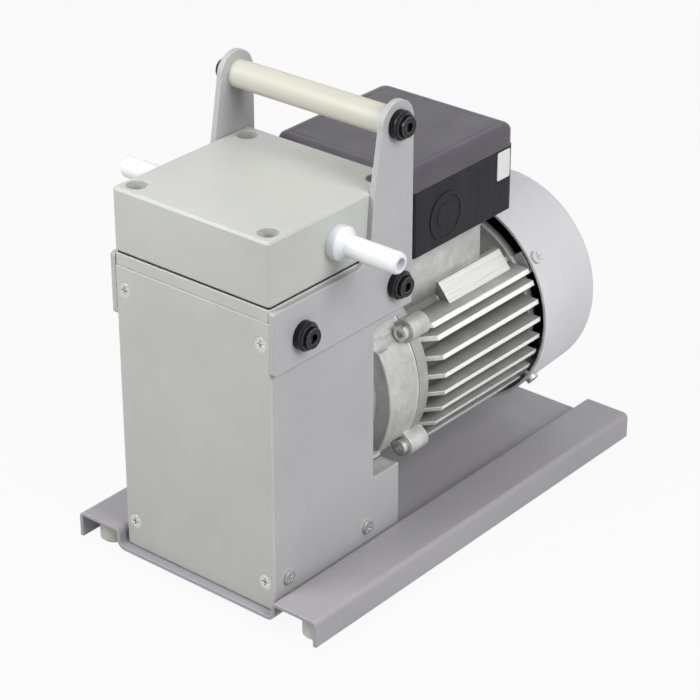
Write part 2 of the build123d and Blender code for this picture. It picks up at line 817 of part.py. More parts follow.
screw_reach = bracket_sheet + panel_sheet + case_wall - 0.4
with BuildPart() as handle_rod:
    with BuildSketch(Plane.YZ.offset(-half)):
        with Locations((handle_y, handle_height)):
            Circle(handle_bore)
    extrude(amount=housing_width)
    for s in (-1, 1):
        with BuildSketch(Plane.YZ.offset(s * half)):
            with Locations((handle_y, handle_height)):
                Circle(m6 + fit)
        extrude(amount=-s * (screw_reach + 2), mode=Mode.SUBTRACT)
save(handle_rod.part, "handle_rod")

cup_places = [*bracket_screws_yz, (handle_y, handle_height)]
with BuildPart() as bracket_cups:
    for s in (-1, 1):
        with BuildSketch(Plane.YZ.offset(s * bracket_face)):
            with Locations(*cup_places):
                Circle(cup_radius)
                Circle(m6 + 0.1, mode=Mode.SUBTRACT)
        extrude(amount=s * cup_height)
    rims = bracket_cups.edges().filter_by(GeomType.CIRCLE).group_by(SortBy.RADIUS)[-1]
    chamfer(rims.filter_by(lambda e: abs(e.center().X) > bracket_face + 1), 1.5, 1.1)
    for s in (-1, 1):
        with BuildSketch(Plane.YZ.offset(s * (bracket_face + cup_height))):
            with Locations(*cup_places):
                Circle(5.4)
        extrude(amount=-s * (cup_height - 2), mode=Mode.SUBTRACT)
save(bracket_cups.part, "bracket_cups")

with BuildPart() as bracket_screws:
    for s in (-1, 1):
        with BuildSketch(Plane.YZ.offset(s * (bracket_face + 2))):
            with Locations(*cup_places):
                Circle(5.2)
        extrude(amount=s * 5)
        with BuildSketch(Plane.YZ.offset(s * (bracket_face + 2))):
            with Locations(*cup_places):
                Circle(m6)
        extrude(amount=-s * (2 + screw_reach))
        with BuildSketch(Plane.YZ.offset(s * (bracket_face + 7))):
            with Locations(*cup_places):
                RegularPolygon(2.9, 6)
        extrude(amount=-s * 3, mode=Mode.SUBTRACT)
save(bracket_screws.part, "bracket_screws")

# --------------------------------------------------------------------- motor
def turned(points):
    """Solid of revolution about the shaft; points are (depth, radius)."""
    with BuildPart() as body:
        with BuildSketch(Plane.YZ):
            with BuildLine():
                Polyline(*[(at(d), axis_z + r) for d, r in points], close=True)
            make_face()
        revolve(axis=motor_axis)
    return body.part


bearing_seat = 17.5
bearing_d = d_shield + 3.0
bearing_w = 11.0
with BuildPart() as front_end_shield:
    add(turned([
        (d_shield - 6, shaft_radius + 1.5),
        (d_shield - 6, spigot_radius),
        (d_shield, spigot_radius),
        (d_shield, shield_radius - 0.8),
        (d_shield + 0.8, shield_radius),
        (d_shield + 7.3, shield_radius),
        (d_shield + 8.1, shield_radius - 1.4),
        (d_stator - 1.2, ring_radius - 0.4),
        (d_stator - 0.8, ring_radius),
        (d_stator, ring_radius - 0.8),
        (d_stator, stator_bore),
        (d_shield + 14.5, stator_bore - 4),
        (d_shield + 12, 24),
        (bearing_d + bearing_w, 20),
        (bearing_d + bearing_w, bearing_seat + fit),
        (bearing_d, bearing_seat + fit),
        (bearing_d, shaft_radius + 1.5),
    ]))
    with BuildSketch(front_plane(d_stator - ear_thickness)):
        with Locations(*round_motor(ear_circle)):
            Circle(ear_radius)
            with Locations((-5, 0)):
                Rectangle(10, 2 * ear_radius)
    extrude(amount=-ear_thickness)
    with BuildSketch(front_plane(d_shield + 0.5)):
        with Locations(*round_motor(ear_circle)):
            Circle(m5 + 0.1)
    extrude(amount=-40, mode=Mode.SUBTRACT)
    with BuildSketch(front_plane(d_shield)):
        with Locations(*round_motor(ear_circle)):
            Circle(5.2)
    extrude(amount=-(shield_length - ear_thickness), mode=Mode.SUBTRACT)
    with BuildSketch(front_plane(d_shield)):
        with Locations((0, axis_z)):
            with PolarLocations(38.5, 4, start_angle=45):
                Circle(m5 + fit)
    extrude(amount=-9, mode=Mode.SUBTRACT)
save(front_end_shield.part, "front_end_shield")

with BuildPart() as flange_bolts:
    with BuildSketch(front_plane(wall_front)):
        with Locations((0, axis_z)):
            with PolarLocations(38.5, 4, start_angle=45):
                Circle(4.25)
    extrude(amount=4)
    with BuildSketch(front_plane(wall_front)):
        with Locations((0, axis_z)):
            with PolarLocations(38.5, 4, start_angle=45):
                Circle(m5)
    extrude(amount=-(d_shield + 8 - wall_front))
save(flange_bolts.part, "flange_bolts")

with BuildPart() as shield_bolts:
    with BuildSketch(front_plane(d_stator - ear_thickness)):
        with Locations(*round_motor(ear_circle)):
            Circle(4.2)
    extrude(amount=4)
    with BuildSketch(front_plane(d_stator - ear_thickness)):
        with Locations(*round_motor(ear_circle)):
            Circle(m5)
    extrude(amount=-(ear_thickness + boss_length - 2))
    with BuildSketch(front_plane(d_stator - ear_thickness - 4)):
        with Locations(*round_motor(ear_circle)):
            RegularPolygon(2.3, 6)
    extrude(amount=-2.4, mode=Mode.SUBTRACT)
save(shield_bolts.part, "shield_bolts")

# Finned stator frame: level fins at the sides and upright ones below, cut to a
# round outline and running out into a plain ring at the front.
fin_count = int((stator_core_radius - fin_thickness) / fin_pitch)
fin_levels = [(k + 0.5) * fin_pitch + fin_shift for k in range(-fin_count - 1, 3)]
fin_levels = [z for z in fin_levels if abs(z) < stator_core_radius - fin_thickness / 2]
with BuildPart() as stator_housing:
    with BuildSketch(front_plane(d_stator)):
        with Locations((0, axis_z)):
            Circle(stator_core_radius)
        for z in (*fin_levels, pad_low - fin_thickness / 2):
            with Locations((0, axis_z + z)):
                Rectangle(2 * fin_tip_radius + 4, fin_thickness)
        with Locations((0, axis_z - fin_tip_radius / 2)):
            with GridLocations(fin_pitch, 0, 4, 1):
                Rectangle(fin_thickness, fin_tip_radius)
    extrude(amount=-stator_length)
    with BuildSketch(front_plane(d_stator)):
        with Locations((0, axis_z)):
            Circle(ring_radius)
    extrude(amount=-7)
    add(
        turned([
            (d_stator - 1, 0.0),
            (d_stator - 1, ring_radius),
            (d_stator + 7, ring_radius),
            (d_stator + fin_run_in, fin_tip_radius),
            (d_stator_end + 1, fin_tip_radius),
            (d_stator_end + 1, 0.0),
        ]),
        mode=Mode.INTERSECT,
    )
    # bosses for the shield bolts
    with BuildSketch(front_plane(d_stator)):
        with Locations(*round_motor(ear_circle)):
            Circle(ear_radius)
            with Locations((-5, 0)):
                Rectangle(10, 2 * ear_radius)
    extrude(amount=-boss_length)
    # plinth for the terminal box, with a sloping machined pad at each side
    with BuildSketch(front_plane(d_stator + 1.6)):
        with Locations((0, (box_low + axis_z + 30) / 2)):
            Rectangle(2 * plinth_half_width, box_low - axis_z - 30)
    extrude(amount=-(plinth_rear - d_stator - 1.6))
    for s in (-1, 1):
        with BuildSketch(front_plane(pad_front)):
            with BuildLine():
                Polyline(
                    (s * (plinth_half_width - 2), axis_z + pad_high),
                    (s * (plinth_half_width + 1.6), axis_z + pad_high),
                    (s * (plinth_half_width + 9.4), axis_z + pad_low),
                    (s * (plinth_half_width + 6), axis_z + 26),
                    (s * (plinth_half_width - 8), axis_z + 29),
                    close=True,
                )
            make_face()
        extrude(amount=-(pad_rear - pad_front))
    with BuildSketch(front_plane(d_stator - 1)):
        with Locations((0, axis_z)):
            Circle(stator_bore)
    extrude(amount=-(stator_length + 2), mode=Mode.SUBTRACT)
    with BuildSketch(front_plane(d_stator)):
        with Locations(*round_motor(ear_circle)):
            Circle(m5 + fit)
    extrude(amount=-(boss_length - 1.5), mode=Mode.SUBTRACT)
    with BuildSketch(Plane.XY.offset(box_low)):
        with Locations((0, at(box_front + 40))):
            SlotOverall(30, 14)
    extrude(amount=-(box_low - axis_z), mode=Mode.SUBTRACT)
    with BuildSketch(Plane.XY.offset(box_low)):
        with Locations((0, at((box_front + plinth_rear) / 2))):
            with GridLocations(50, 52, 2, 2):
                Circle(m4 + fit)
    extrude(amount=-8, mode=Mode.SUBTRACT)
save(stator_housing.part, "stator_housing")

lam_start = d_stator + (stator_length - lamination_length) / 2
with BuildPart() as stator_core:
    with BuildSketch(front_plane(lam_start)):
        with Locations((0, axis_z)):
            Circle(stator_bore - fit)
            Circle(rotor_radius + 0.6, mode=Mode.SUBTRACT)
            with PolarLocations(rotor_radius + 6.5, 12):
                SlotOverall(7, 4, mode=Mode.SUBTRACT)
    extrude(amount=-lamination_length)
save(stator_core.part, "stator_core")

with BuildPart() as windings:
    for start in (lam_start - 10.5, lam_start + lamination_length + 0.5):
        with BuildSketch(front_plane(start)):
            with Locations((0, axis_z)):
                Circle(stator_bore - 3)
                Circle(rotor_radius + 2, mode=Mode.SUBTRACT)
        extrude(amount=-10)
    chamfer(windings.edges().filter_by(GeomType.CIRCLE), 2.5)
save(windings.part, "windings")

with BuildPart() as rotor:
    with BuildSketch(front_plane(lam_start)):
        with Locations((0, axis_z)):
            Circle(rotor_radius)
            Circle(shaft_radius + 1.5 + fit, mode=Mode.SUBTRACT)
    extrude(amount=-lamination_length)
    for start in (lam_start - 6, lam_start + lamination_length):
        with BuildSketch(front_plane(start)):
            with Locations((0, axis_z)):
                Circle(rotor_radius - 1.5)
                Circle(shaft_radius + 6, mode=Mode.SUBTRACT)
        extrude(amount=-6)
save(rotor.part, "rotor")

rear_bearing_d = d_stator_end - 4.0
d_fan = rear_bearing_d + bearing_w + 9
fan_length = 20.0
with BuildPart() as motor_shaft:
    add(turned([
        (d_journal + 0.5, 0.0),
        (d_journal + 0.5, shaft_end_radius - 0.5),
        (d_journal + 1.0, shaft_end_radius),
        (d_hub_end + 2, shaft_end_radius),
        (d_hub_end + 2, shaft_radius),
        (bearing_d + bearing_w + 1, shaft_radius),
        (bearing_d + bearing_w + 1, shaft_radius + 1.5),
        (rear_bearing_d - 0.5, shaft_radius + 1.5),
        (rear_bearing_d - 0.5, shaft_radius),
        (rear_bearing_d + bearing_w + 1, shaft_radius),
        (rear_bearing_d + bearing_w + 1, shaft_end_radius),
        (d_fan + fan_length + 2, shaft_end_radius),
        (d_fan + fan_length + 2, 0.0),
    ]))
    with BuildSketch(front_plane(d_journal)):
        with Locations((0, axis_z)):
            Circle(m5 + fit)
    extrude(amount=-15, mode=Mode.SUBTRACT)
save(motor_shaft.part, "motor_shaft")

save(make_bearing(bearing_d, axis_z, shaft_radius + fit, bearing_seat, bearing_w), "front_bearing")
save(make_bearing(rear_bearing_d, axis_z, shaft_radius + fit, bearing_seat, bearing_w),
     "rear_bearing")

cowl_inner = cowl_rear_radius - cowl_sheet
with BuildPart() as rear_end_shield:
    add(turned([
        (d_stator_end - 5, stator_bore - fit),
        (d_stator_end, stator_bore - fit),
        (d_stator_end, stator_core_radius + 3),
        (d_stator_end + 5, stator_core_radius + 3),
        (d_stator_end + 8, stator_core_radius - 4),
        (rear_bearing_d + bearing_w + 3, bearing_seat + 6),
        (rear_bearing_d + bearing_w + 3, shaft_radius + 1.5),
        (rear_bearing_d + bearing_w, shaft_radius + 1.5),
        (rear_bearing_d + bearing_w, bearing_seat + fit),
        (rear_bearing_d, bearing_seat + fit),
        (rear_bearing_d, bearing_seat + 4),
        (d_stator_end + 1, bearing_seat + 8),
        (d_stator_end + 1, stator_bore - 5),
        (d_stator_end - 5, stator_bore - 3),
    ]))
    # four lugs that the cowl is screwed to
    with BuildSketch(front_plane(d_stator_end + 1.5)):
        with Locations(*round_motor((cowl_inner - 0.2 + stator_core_radius) / 2)):
            Rectangle(cowl_inner - 0.2 - stator_core_radius, 12)
    extrude(amount=-8)
    for a in ear_angles:
        hole = Plane(
            origin=(0, at(d_stator_end + 5.5), axis_z),
            x_dir=(0, 1, 0),
            z_dir=Vector(1, 0, 0).rotate(Axis.Y, a),
        )
        with BuildSketch(hole.offset(cowl_inner - 8)):
            Circle(m4 + fit)
        extrude(amount=20, mode=Mode.SUBTRACT)
save(rear_end_shield.part, "rear_end_shield")

with BuildPart() as cooling_fan:
    with BuildSketch(front_plane(d_fan)):
        with Locations((0, axis_z)):
            Circle(13)
    extrude(amount=-fan_length)
    with BuildSketch(front_plane(d_fan)):
        with Locations((0, axis_z)):
            Circle(fan_radius - 8)
    extrude(amount=-2)
    with BuildSketch(front_plane(d_fan)):
        with Locations((0, axis_z)):
            with PolarLocations(0, fan_blades):
                with Locations(((fan_radius + 11) / 2, 0)):
                    Rectangle(fan_radius - 11, 2)
    extrude(amount=-(fan_length - 2))
    with BuildSketch(front_plane(d_fan)):
        with Locations((0, axis_z)):
            Circle(shaft_end_radius + fit)
    extrude(amount=-fan_length, mode=Mode.SUBTRACT)
save(cooling_fan.part, "cooling_fan")

# Pressed fan cowl with rings of air slots in its back
with BuildPart() as fan_cowl:
    with BuildSketch(Plane.YZ):
        with BuildLine():
            Polyline(
                (at(d_cowl), axis_z + cowl_front_radius),
                (at(d_cowl_end - cowl_corner), axis_z + cowl_rear_radius),
            )
            RadiusArc(
                (at(d_cowl_end - cowl_corner), axis_z + cowl_rear_radius),
                (at(d_cowl_end), axis_z + cowl_rear_radius - cowl_corner),
                cowl_corner,
            )
            Polyline(
                (at(d_cowl_end), axis_z + cowl_rear_radius - cowl_corner),
                (at(d_cowl_end), axis_z),
                (at(d_cowl_end - cowl_sheet), axis_z),
                (at(d_cowl_end - cowl_sheet), axis_z + cowl_rear_radius - cowl_corner),
            )
            RadiusArc(
                (at(d_cowl_end - cowl_sheet), axis_z + cowl_rear_radius - cowl_corner),
                (at(d_cowl_end - cowl_corner), axis_z + cowl_rear_radius - cowl_sheet),
                -(cowl_corner - cowl_sheet),
            )
            Polyline(
                (at(d_cowl_end - cowl_corner), axis_z + cowl_rear_radius - cowl_sheet),
                (at(d_cowl), axis_z + cowl_front_radius - cowl_sheet),
                (at(d_cowl), axis_z + cowl_front_radius),
            )
        make_face()
    revolve(axis=motor_axis)
    with BuildSketch(front_plane(d_cowl_end + 1)):
        with Locations((0, axis_z)):
            for ring in grille_rings:
                Circle(ring + grille_slot / 2)
                Circle(ring - grille_slot / 2, mode=Mode.SUBTRACT)
            with PolarLocations(0, grille_spokes // 2, start_angle=15, angular_range=180):
                Rectangle(2 * cowl_rear_radius, grille_bar, mode=Mode.SUBTRACT)
    extrude(amount=cowl_sheet + 2, mode=Mode.SUBTRACT)
    for a in ear_angles:
        hole = Plane(
            origin=(0, at(d_stator_end + 5.5), axis_z),
            x_dir=(0, 1, 0),
            z_dir=Vector(1, 0, 0).rotate(Axis.Y, a),
        )
        with BuildSketch(hole.offset(cowl_inner - 4)):
            Circle(m4 + 0.1)
        extrude(amount=20, mode=Mode.SUBTRACT)
save(fan_cowl.part, "fan_cowl")

screw_slope = (cowl_front_radius - cowl_rear_radius) / (cowl_length - cowl_corner)
screw_seat = cowl_front_radius - screw_slope * 4.7
with BuildPart() as cowl_screws:
    for a in ear_angles:
        seat = Plane(
            origin=(0, at(d_stator_end + 5.5), axis_z),
            x_dir=(0, 1, 0),
            z_dir=Vector(1, 0, 0).rotate(Axis.Y, a),
        ).offset(screw_seat + 0.2)
        with BuildSketch(seat):
            Circle(3.6)
        extrude(amount=2.2)
        with BuildSketch(seat):
            Circle(m4)
        extrude(amount=-8)
        with BuildSketch(seat.offset(2.2)):
            Rectangle(4.2, 0.8)
            Rectangle(0.8, 4.2)
        extrude(amount=-1, mode=Mode.SUBTRACT)
save(cowl_screws.part, "cowl_screws")

# -------------------------------------------------------------- terminal box
box_mid = (box_front + box_rear) / 2
box_depth = box_rear - box_front
with BuildPart() as terminal_box:
    with BuildSketch(Plane.XY.offset(box_low)):
        with Locations((0, at(box_mid))):
            RectangleRounded(2 * box_half_width, box_depth, 3)
    extrude(amount=box_split - box_low)
    with BuildSketch(Plane.XY.offset(box_split)):
        with Locations((0, at(box_mid))):
            RectangleRounded(2 * (box_half_width - box_wall), box_depth - 2 * box_wall, 1.5)
    extrude(amount=-(box_split - box_low - box_wall), mode=Mode.SUBTRACT)
    with BuildSketch(Plane.XY.offset(box_low)):
        with Locations((0, at(box_mid))):
            with GridLocations(2 * box_half_width - 12, box_depth - 12, 2, 2):
                Circle(4)
    extrude(amount=box_split - box_low)
    with Locations((0, at(box_mid), box_low)):
        with GridLocations(2 * box_half_width - 12, box_depth - 12, 2, 2):
            Cylinder(m3 + 0.1, box_split - box_low, align=(Align.CENTER, Align.CENTER, Align.MIN),
                     mode=Mode.SUBTRACT)
            Cylinder(3.2, 2.5, align=(Align.CENTER, Align.CENTER, Align.MIN), mode=Mode.SUBTRACT)
    with BuildSketch(Plane.XY.offset(box_low)):
        with Locations((0, at(box_front + 40))):
            SlotOverall(26, 10)
        with Locations((0, at((box_front + plinth_rear) / 2))):
            with GridLocations(50, 52, 2, 2):
                Circle(m4 + 0.1)
    extrude(amount=box_wall, mode=Mode.SUBTRACT)
    with BuildSketch(front_plane(box_rear)):
        with Locations((-22, (box_low + box_split) / 2)):
            Circle(7.5 + fit)
    extrude(amount=2 * box_wall, mode=Mode.SUBTRACT)
save(terminal_box.part, "terminal_box")

with BuildPart() as box_screws:
    with Locations((0, at((box_front + plinth_rear) / 2), box_low + box_wall)):
        with GridLocations(50, 52, 2, 2):
            Cylinder(3.8, 2.4, align=(Align.CENTER, Align.CENTER, Align.MIN))
            Cylinder(m4, 10, align=(Align.CENTER, Align.CENTER, Align.MAX))
save(box_screws.part, "box_screws")

lid_mid = (lid_front + box_rear) / 2
lid_width = 2 * box_half_width + 1
lid_length = box_rear - lid_front + 1
post_grid = (2 * box_half_width - 12, box_depth - 12, 2, 2)
with BuildPart() as terminal_box_lid:
    with BuildSketch(Plane.XY.offset(box_split)):
        with Locations((0, at(lid_mid))):
            RectangleRounded(lid_width, lid_length, 6.0)
    extrude(amount=box_high - box_split)
    fillet(terminal_box_lid.faces().sort_by(Axis.Z)[-1].edges(), lid_round)
    # fine groove round the flat of the top
    with BuildSketch(Plane.XY.offset(box_high)):
        with Locations((0, at(lid_mid))):
            Rectangle(lid_width - 2 * lid_round - 4, lid_length - 2 * lid_round - 4)
            Rectangle(lid_width - 2 * lid_round - 5.6, lid_length - 2 * lid_round - 5.6,
                      mode=Mode.SUBTRACT)
    extrude(amount=-0.6, mode=Mode.SUBTRACT)
    with BuildSketch(Plane.XY.offset(box_split)):
        with Locations((0, at(box_mid))):
            RectangleRounded(2 * (box_half_width - box_wall), box_depth - 2 * box_wall, 1.5)
            with GridLocations(*post_grid):
                Circle(5, mode=Mode.SUBTRACT)
    extrude(amount=box_high - box_split - box_wall, mode=Mode.SUBTRACT)
    with BuildSketch(Plane.XY.offset(box_split)):
        with Locations((0, at(box_mid))):
            with GridLocations(*post_grid):
                Circle(m3 + fit)
    extrude(amount=8.4, mode=Mode.SUBTRACT)
save(terminal_box_lid.part, "terminal_box_lid")

# The lid screws come up from below, through the corner posts of the box
with BuildPart() as lid_screws:
    with Locations((0, at(box_mid), box_low + 2.5)):
        with GridLocations(*post_grid):
            Cylinder(2.9, 1.8, align=(Align.CENTER, Align.CENTER, Align.MAX))
            Cylinder(m3, box_split - box_low + 5.5,
                     align=(Align.CENTER, Align.CENTER, Align.MIN))
save(lid_screws.part, "lid_screws")

with BuildPart() as terminal_block:
    with Locations((-24, at((box_front + plinth_rear) / 2), box_low + box_wall)):
        Box(14, 36, 12, align=(Align.CENTER, Align.CENTER, Align.MIN))
        with Locations((0, 0, 12)):
            with GridLocations(0, 12, 1, 3):
                Cylinder(3, 4, align=(Align.CENTER, Align.CENTER, Align.MIN))
save(terminal_block.part, "terminal_block")

with BuildPart() as capacitor:
    with BuildSketch(front_plane(box_front + 12)):
        with Locations((10, box_low + box_wall + 14)):
            Circle(14)
    extrude(amount=-58)
    chamfer(capacitor.edges().filter_by(GeomType.CIRCLE), 1.2)
save(capacitor.part, "capacitor")

gland_z = (box_low + box_split) / 2
with BuildPart() as cable_gland:
    with BuildSketch(front_plane(box_rear - 8)):
        with Locations((-22, gland_z)):
            Circle(7.5)
    extrude(amount=-9)
    with BuildSketch(front_plane(box_rear)):
        with Locations((-22, gland_z)):
            RegularPolygon(11, 6)
    extrude(amount=-5)
    with BuildSketch(front_plane(box_rear + 5)):
        with Locations((-22, gland_z)):
            Circle(9)
    extrude(amount=-9)
    chamfer(cable_gland.edges().group_by(Axis.Y)[-1], 2.2)
    with BuildSketch(front_plane(box_rear + 15)):
        with Locations((-22, gland_z)):
            Circle(4)
    extrude(amount=30, mode=Mode.SUBTRACT)
save(cable_gland.part, "cable_gland")
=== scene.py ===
# %% [markdown]
# # A diaphragm vacuum pump
# The real object is a bench pump: a square housing with a valve head on top,
# a finned electric motor behind it, and a folded base plate on four rubber
# feet.  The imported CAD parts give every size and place.  This script gives
# them their finishes and adds the small things that CAD leaves plain.

# %% Load the frame
import json
import math

import bpy
import bmesh
from mathutils import Matrix, Vector


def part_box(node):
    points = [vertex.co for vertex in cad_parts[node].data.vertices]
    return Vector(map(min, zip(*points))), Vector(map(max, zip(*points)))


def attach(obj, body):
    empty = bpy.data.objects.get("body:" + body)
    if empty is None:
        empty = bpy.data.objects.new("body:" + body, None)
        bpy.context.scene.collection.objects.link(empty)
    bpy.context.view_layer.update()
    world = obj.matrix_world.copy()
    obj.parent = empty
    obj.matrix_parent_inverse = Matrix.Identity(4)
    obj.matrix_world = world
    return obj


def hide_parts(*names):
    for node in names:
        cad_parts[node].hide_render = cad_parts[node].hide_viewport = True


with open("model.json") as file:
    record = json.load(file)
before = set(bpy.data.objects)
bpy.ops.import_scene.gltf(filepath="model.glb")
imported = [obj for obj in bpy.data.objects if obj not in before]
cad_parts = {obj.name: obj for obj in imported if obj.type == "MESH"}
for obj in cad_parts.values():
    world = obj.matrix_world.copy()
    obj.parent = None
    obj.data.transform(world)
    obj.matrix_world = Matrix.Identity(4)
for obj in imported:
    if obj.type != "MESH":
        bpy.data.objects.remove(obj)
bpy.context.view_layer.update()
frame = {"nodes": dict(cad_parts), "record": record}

scene = bpy.context.scene
nodes = frame["nodes"]
bpy.ops.object.select_all(action="DESELECT")

# %% [markdown]
# ## Camera
# The pump is seen from its right front corner and from above, through a long
# lens, so that upright edges lean together only a little.

# %% Camera
CAMERA_AZIMUTH = math.radians(39.738)
CAMERA_TILT = math.radians(28.001)
CAMERA_PLACE = (0.7326, -0.8923, 0.6991)
CAMERA_LENS = 127.43
CAMERA_SENSOR = 36

bpy.ops.object.camera_add(
    location=CAMERA_PLACE,
    rotation=(math.radians(90) - CAMERA_TILT, 0, CAMERA_AZIMUTH),
)
camera = bpy.context.object
camera.data.lens = CAMERA_LENS
camera.data.sensor_width = CAMERA_SENSOR
scene.camera = camera
print("camera lens", CAMERA_LENS, "mm at", CAMERA_PLACE)

# %% [markdown]
# ## Tools for node trees
# Every finish is a small tree of nodes.  Short helpers keep the code
# readable: they add a node with its settings, link it, start a node group
# with named sockets, place a group in a material, and do the sums and mixes
# that every finish needs.

# %% Helpers for node trees
def add_node(tree, kind, values=None, **settings):
    """Adds one node, sets its options, and fills its unlinked inputs."""
    node = tree.nodes.new(kind)
    for option, setting in settings.items():
        setattr(node, option, setting)
    for socket, value in (values or {}).items():
        node.inputs[socket].default_value = value
    return node


def put(tree, source, socket):
    """Links a source to a socket."""
    tree.links.new(source, socket)


def new_group(name, inputs, outputs):
    """Empty shader node group; inputs are {name: (type, value)}, outputs {name: type}."""
    tree = bpy.data.node_groups.new(name, "ShaderNodeTree")
    for socket_name, (kind, value) in inputs.items():
        socket = tree.interface.new_socket(socket_name, in_out="INPUT", socket_type=kind)
        if value is not None:
            socket.default_value = value
    for socket_name, kind in outputs.items():
        tree.interface.new_socket(socket_name, in_out="OUTPUT", socket_type=kind)
    return tree, tree.nodes.new("NodeGroupInput"), tree.nodes.new("NodeGroupOutput")


def use_group(tree, name, values=None):
    """Places a finished node group in a material's tree."""
    node = tree.nodes.new("ShaderNodeGroup")
    node.node_tree = bpy.data.node_groups[name]
    for socket, value in (values or {}).items():
        node.inputs[socket].default_value = value
    return node


def map_value(tree, source, low, high, to_low=0.0, to_high=1.0):
    """Stretches a value from low..high to another range, clamped at both ends."""
    node = add_node(tree, "ShaderNodeMapRange", {1: low, 2: high, 3: to_low, 4: to_high})
    put(tree, source, node.inputs[0])
    return node.outputs[0]


def combine(tree, operation, first, second):
    """Math on two inputs; each is a socket or a number."""
    node = tree.nodes.new("ShaderNodeMath")
    node.operation = operation
    for socket, value in zip(node.inputs, (first, second)):
        if isinstance(value, (int, float)):
            socket.default_value = value
        else:
            put(tree, value, socket)
    return node.outputs[0]


def blend_colours(tree, mask, first, second):
    """Mixes two colours by a mask; a colour is a socket or three numbers."""
    node = tree.nodes.new("ShaderNodeMix")
    node.data_type = "RGBA"
    put(tree, mask, node.inputs["Factor"])
    for socket, value in ((node.inputs[6], first), (node.inputs[7], second)):
        if isinstance(value, (tuple, list)):
            socket.default_value = (*value, 1)
        else:
            put(tree, value, socket)
    return node.outputs[2]


print("node helpers ready")

# %% [markdown]
# ## Edges that catch the light
# A pressed or cast edge is never sharp.  It is a little round.  The Bevel
# node looks at the surface round each point and gives a rounded normal; where
# that differs from the true normal, there is an edge.  One group gives both
# the normal and the mask to all the finishes, and they lighten their colour
# by the mask: partly wear, where paint is thin and handling rubs it brighter,
# and partly a painted highlight for the shine of the edge.

# %% Edge group
tree, inlet, outlet = new_group(
    "edge_light",
    {"Radius": ("NodeSocketFloat", 0.0006), "Reach": ("NodeSocketFloat", 0.30)},
    {"Mask": "NodeSocketFloat", "Normal": "NodeSocketVector"},
)
rounded = add_node(tree, "ShaderNodeBevel", samples=4)
put(tree, inlet.outputs["Radius"], rounded.inputs["Radius"])
geometry = tree.nodes.new("ShaderNodeNewGeometry")
agreement = add_node(tree, "ShaderNodeVectorMath", operation="DOT_PRODUCT")
put(tree, rounded.outputs[0], agreement.inputs[0])
put(tree, geometry.outputs["True Normal"], agreement.inputs[1])
turned_away = combine(tree, "SUBTRACT", 1.0, agreement.outputs["Value"])
stretched = combine(tree, "DIVIDE", turned_away, inlet.outputs["Reach"])
EDGE_START = 0.04
put(tree, map_value(tree, stretched, EDGE_START, 1.0), outlet.inputs["Mask"])
put(tree, rounded.outputs[0], outlet.inputs["Normal"])
print("group", tree.name, "nodes", len(tree.nodes))

# %% [markdown]
# ## Skin of baked paint
# Powder paint dries with a fine orange peel, about a millimetre from crest to
# crest, and its tone drifts slightly over a hand's breadth.  Both come from
# noise on Object coordinates, so they have real size on every part.

# %% Paint skin group
tree, inlet, outlet = new_group(
    "paint_skin",
    {"Place": ("NodeSocketVector", None), "Peel": ("NodeSocketFloat", 900.0)},
    {"Height": "NodeSocketFloat", "Tone": "NodeSocketFloat", "Speckle": "NodeSocketFloat"},
)
peel = add_node(tree, "ShaderNodeTexNoise", {"Detail": 3.0, "Roughness": 0.55})
put(tree, inlet.outputs["Place"], peel.inputs["Vector"])
put(tree, inlet.outputs["Peel"], peel.inputs["Scale"])
drift = add_node(tree, "ShaderNodeTexNoise", {"Scale": 16.0, "Detail": 4.0, "Roughness": 0.6})
put(tree, inlet.outputs["Place"], drift.inputs["Vector"])
grain = add_node(tree, "ShaderNodeTexNoise", {"Scale": 2600.0, "Detail": 1.0})
put(tree, inlet.outputs["Place"], grain.inputs["Vector"])
put(tree, peel.outputs[0], outlet.inputs["Height"])
put(tree, map_value(tree, drift.outputs[0], 0.30, 0.70), outlet.inputs["Tone"])
put(tree, map_value(tree, grain.outputs[0], 0.35, 0.65), outlet.inputs["Speckle"])
print("group", tree.name, "nodes", len(tree.nodes))

# %% [markdown]
# ## Skin of a sand casting
# A casting is bumpy at about half a millimetre, has small pits, and is
# cloudy in colour where the sand was coarser.  Noise makes the bumps and a
# Voronoi cell pattern makes the pits.

# %% Cast skin group
tree, inlet, outlet = new_group(
    "cast_skin",
    {"Place": ("NodeSocketVector", None), "Sand": ("NodeSocketFloat", 1100.0)},
    {"Height": "NodeSocketFloat", "Cloud": "NodeSocketFloat", "Pits": "NodeSocketFloat"},
)
sand = add_node(tree, "ShaderNodeTexNoise", {"Detail": 5.0, "Roughness": 0.65})
put(tree, inlet.outputs["Place"], sand.inputs["Vector"])
put(tree, inlet.outputs["Sand"], sand.inputs["Scale"])
cells = add_node(tree, "ShaderNodeTexVoronoi", {"Scale": 520.0})
put(tree, inlet.outputs["Place"], cells.inputs["Vector"])
pits = map_value(tree, cells.outputs["Distance"], 0.05, 0.30, 1.0, 0.0)
cloud = add_node(tree, "ShaderNodeTexNoise", {"Scale": 60.0, "Detail": 6.0, "Roughness": 0.7})
put(tree, inlet.outputs["Place"], cloud.inputs["Vector"])
PIT_DEPTH = 0.35
pitted = combine(tree, "MULTIPLY", pits, PIT_DEPTH)
put(tree, combine(tree, "SUBTRACT", sand.outputs[0], pitted), outlet.inputs["Height"])
put(tree, map_value(tree, cloud.outputs[0], 0.32, 0.68), outlet.inputs["Cloud"])
put(tree, pits, outlet.inputs["Pits"])
print("group", tree.name, "nodes", len(tree.nodes))

# %% [markdown]
# ## Lines of a cutting tool
# Turned, milled and ground metal carries fine lines in one direction.  Noise
# that is stretched along one axis gives them.  The group takes a stretch for
# each axis, so one group serves shafts, plates and screw heads.

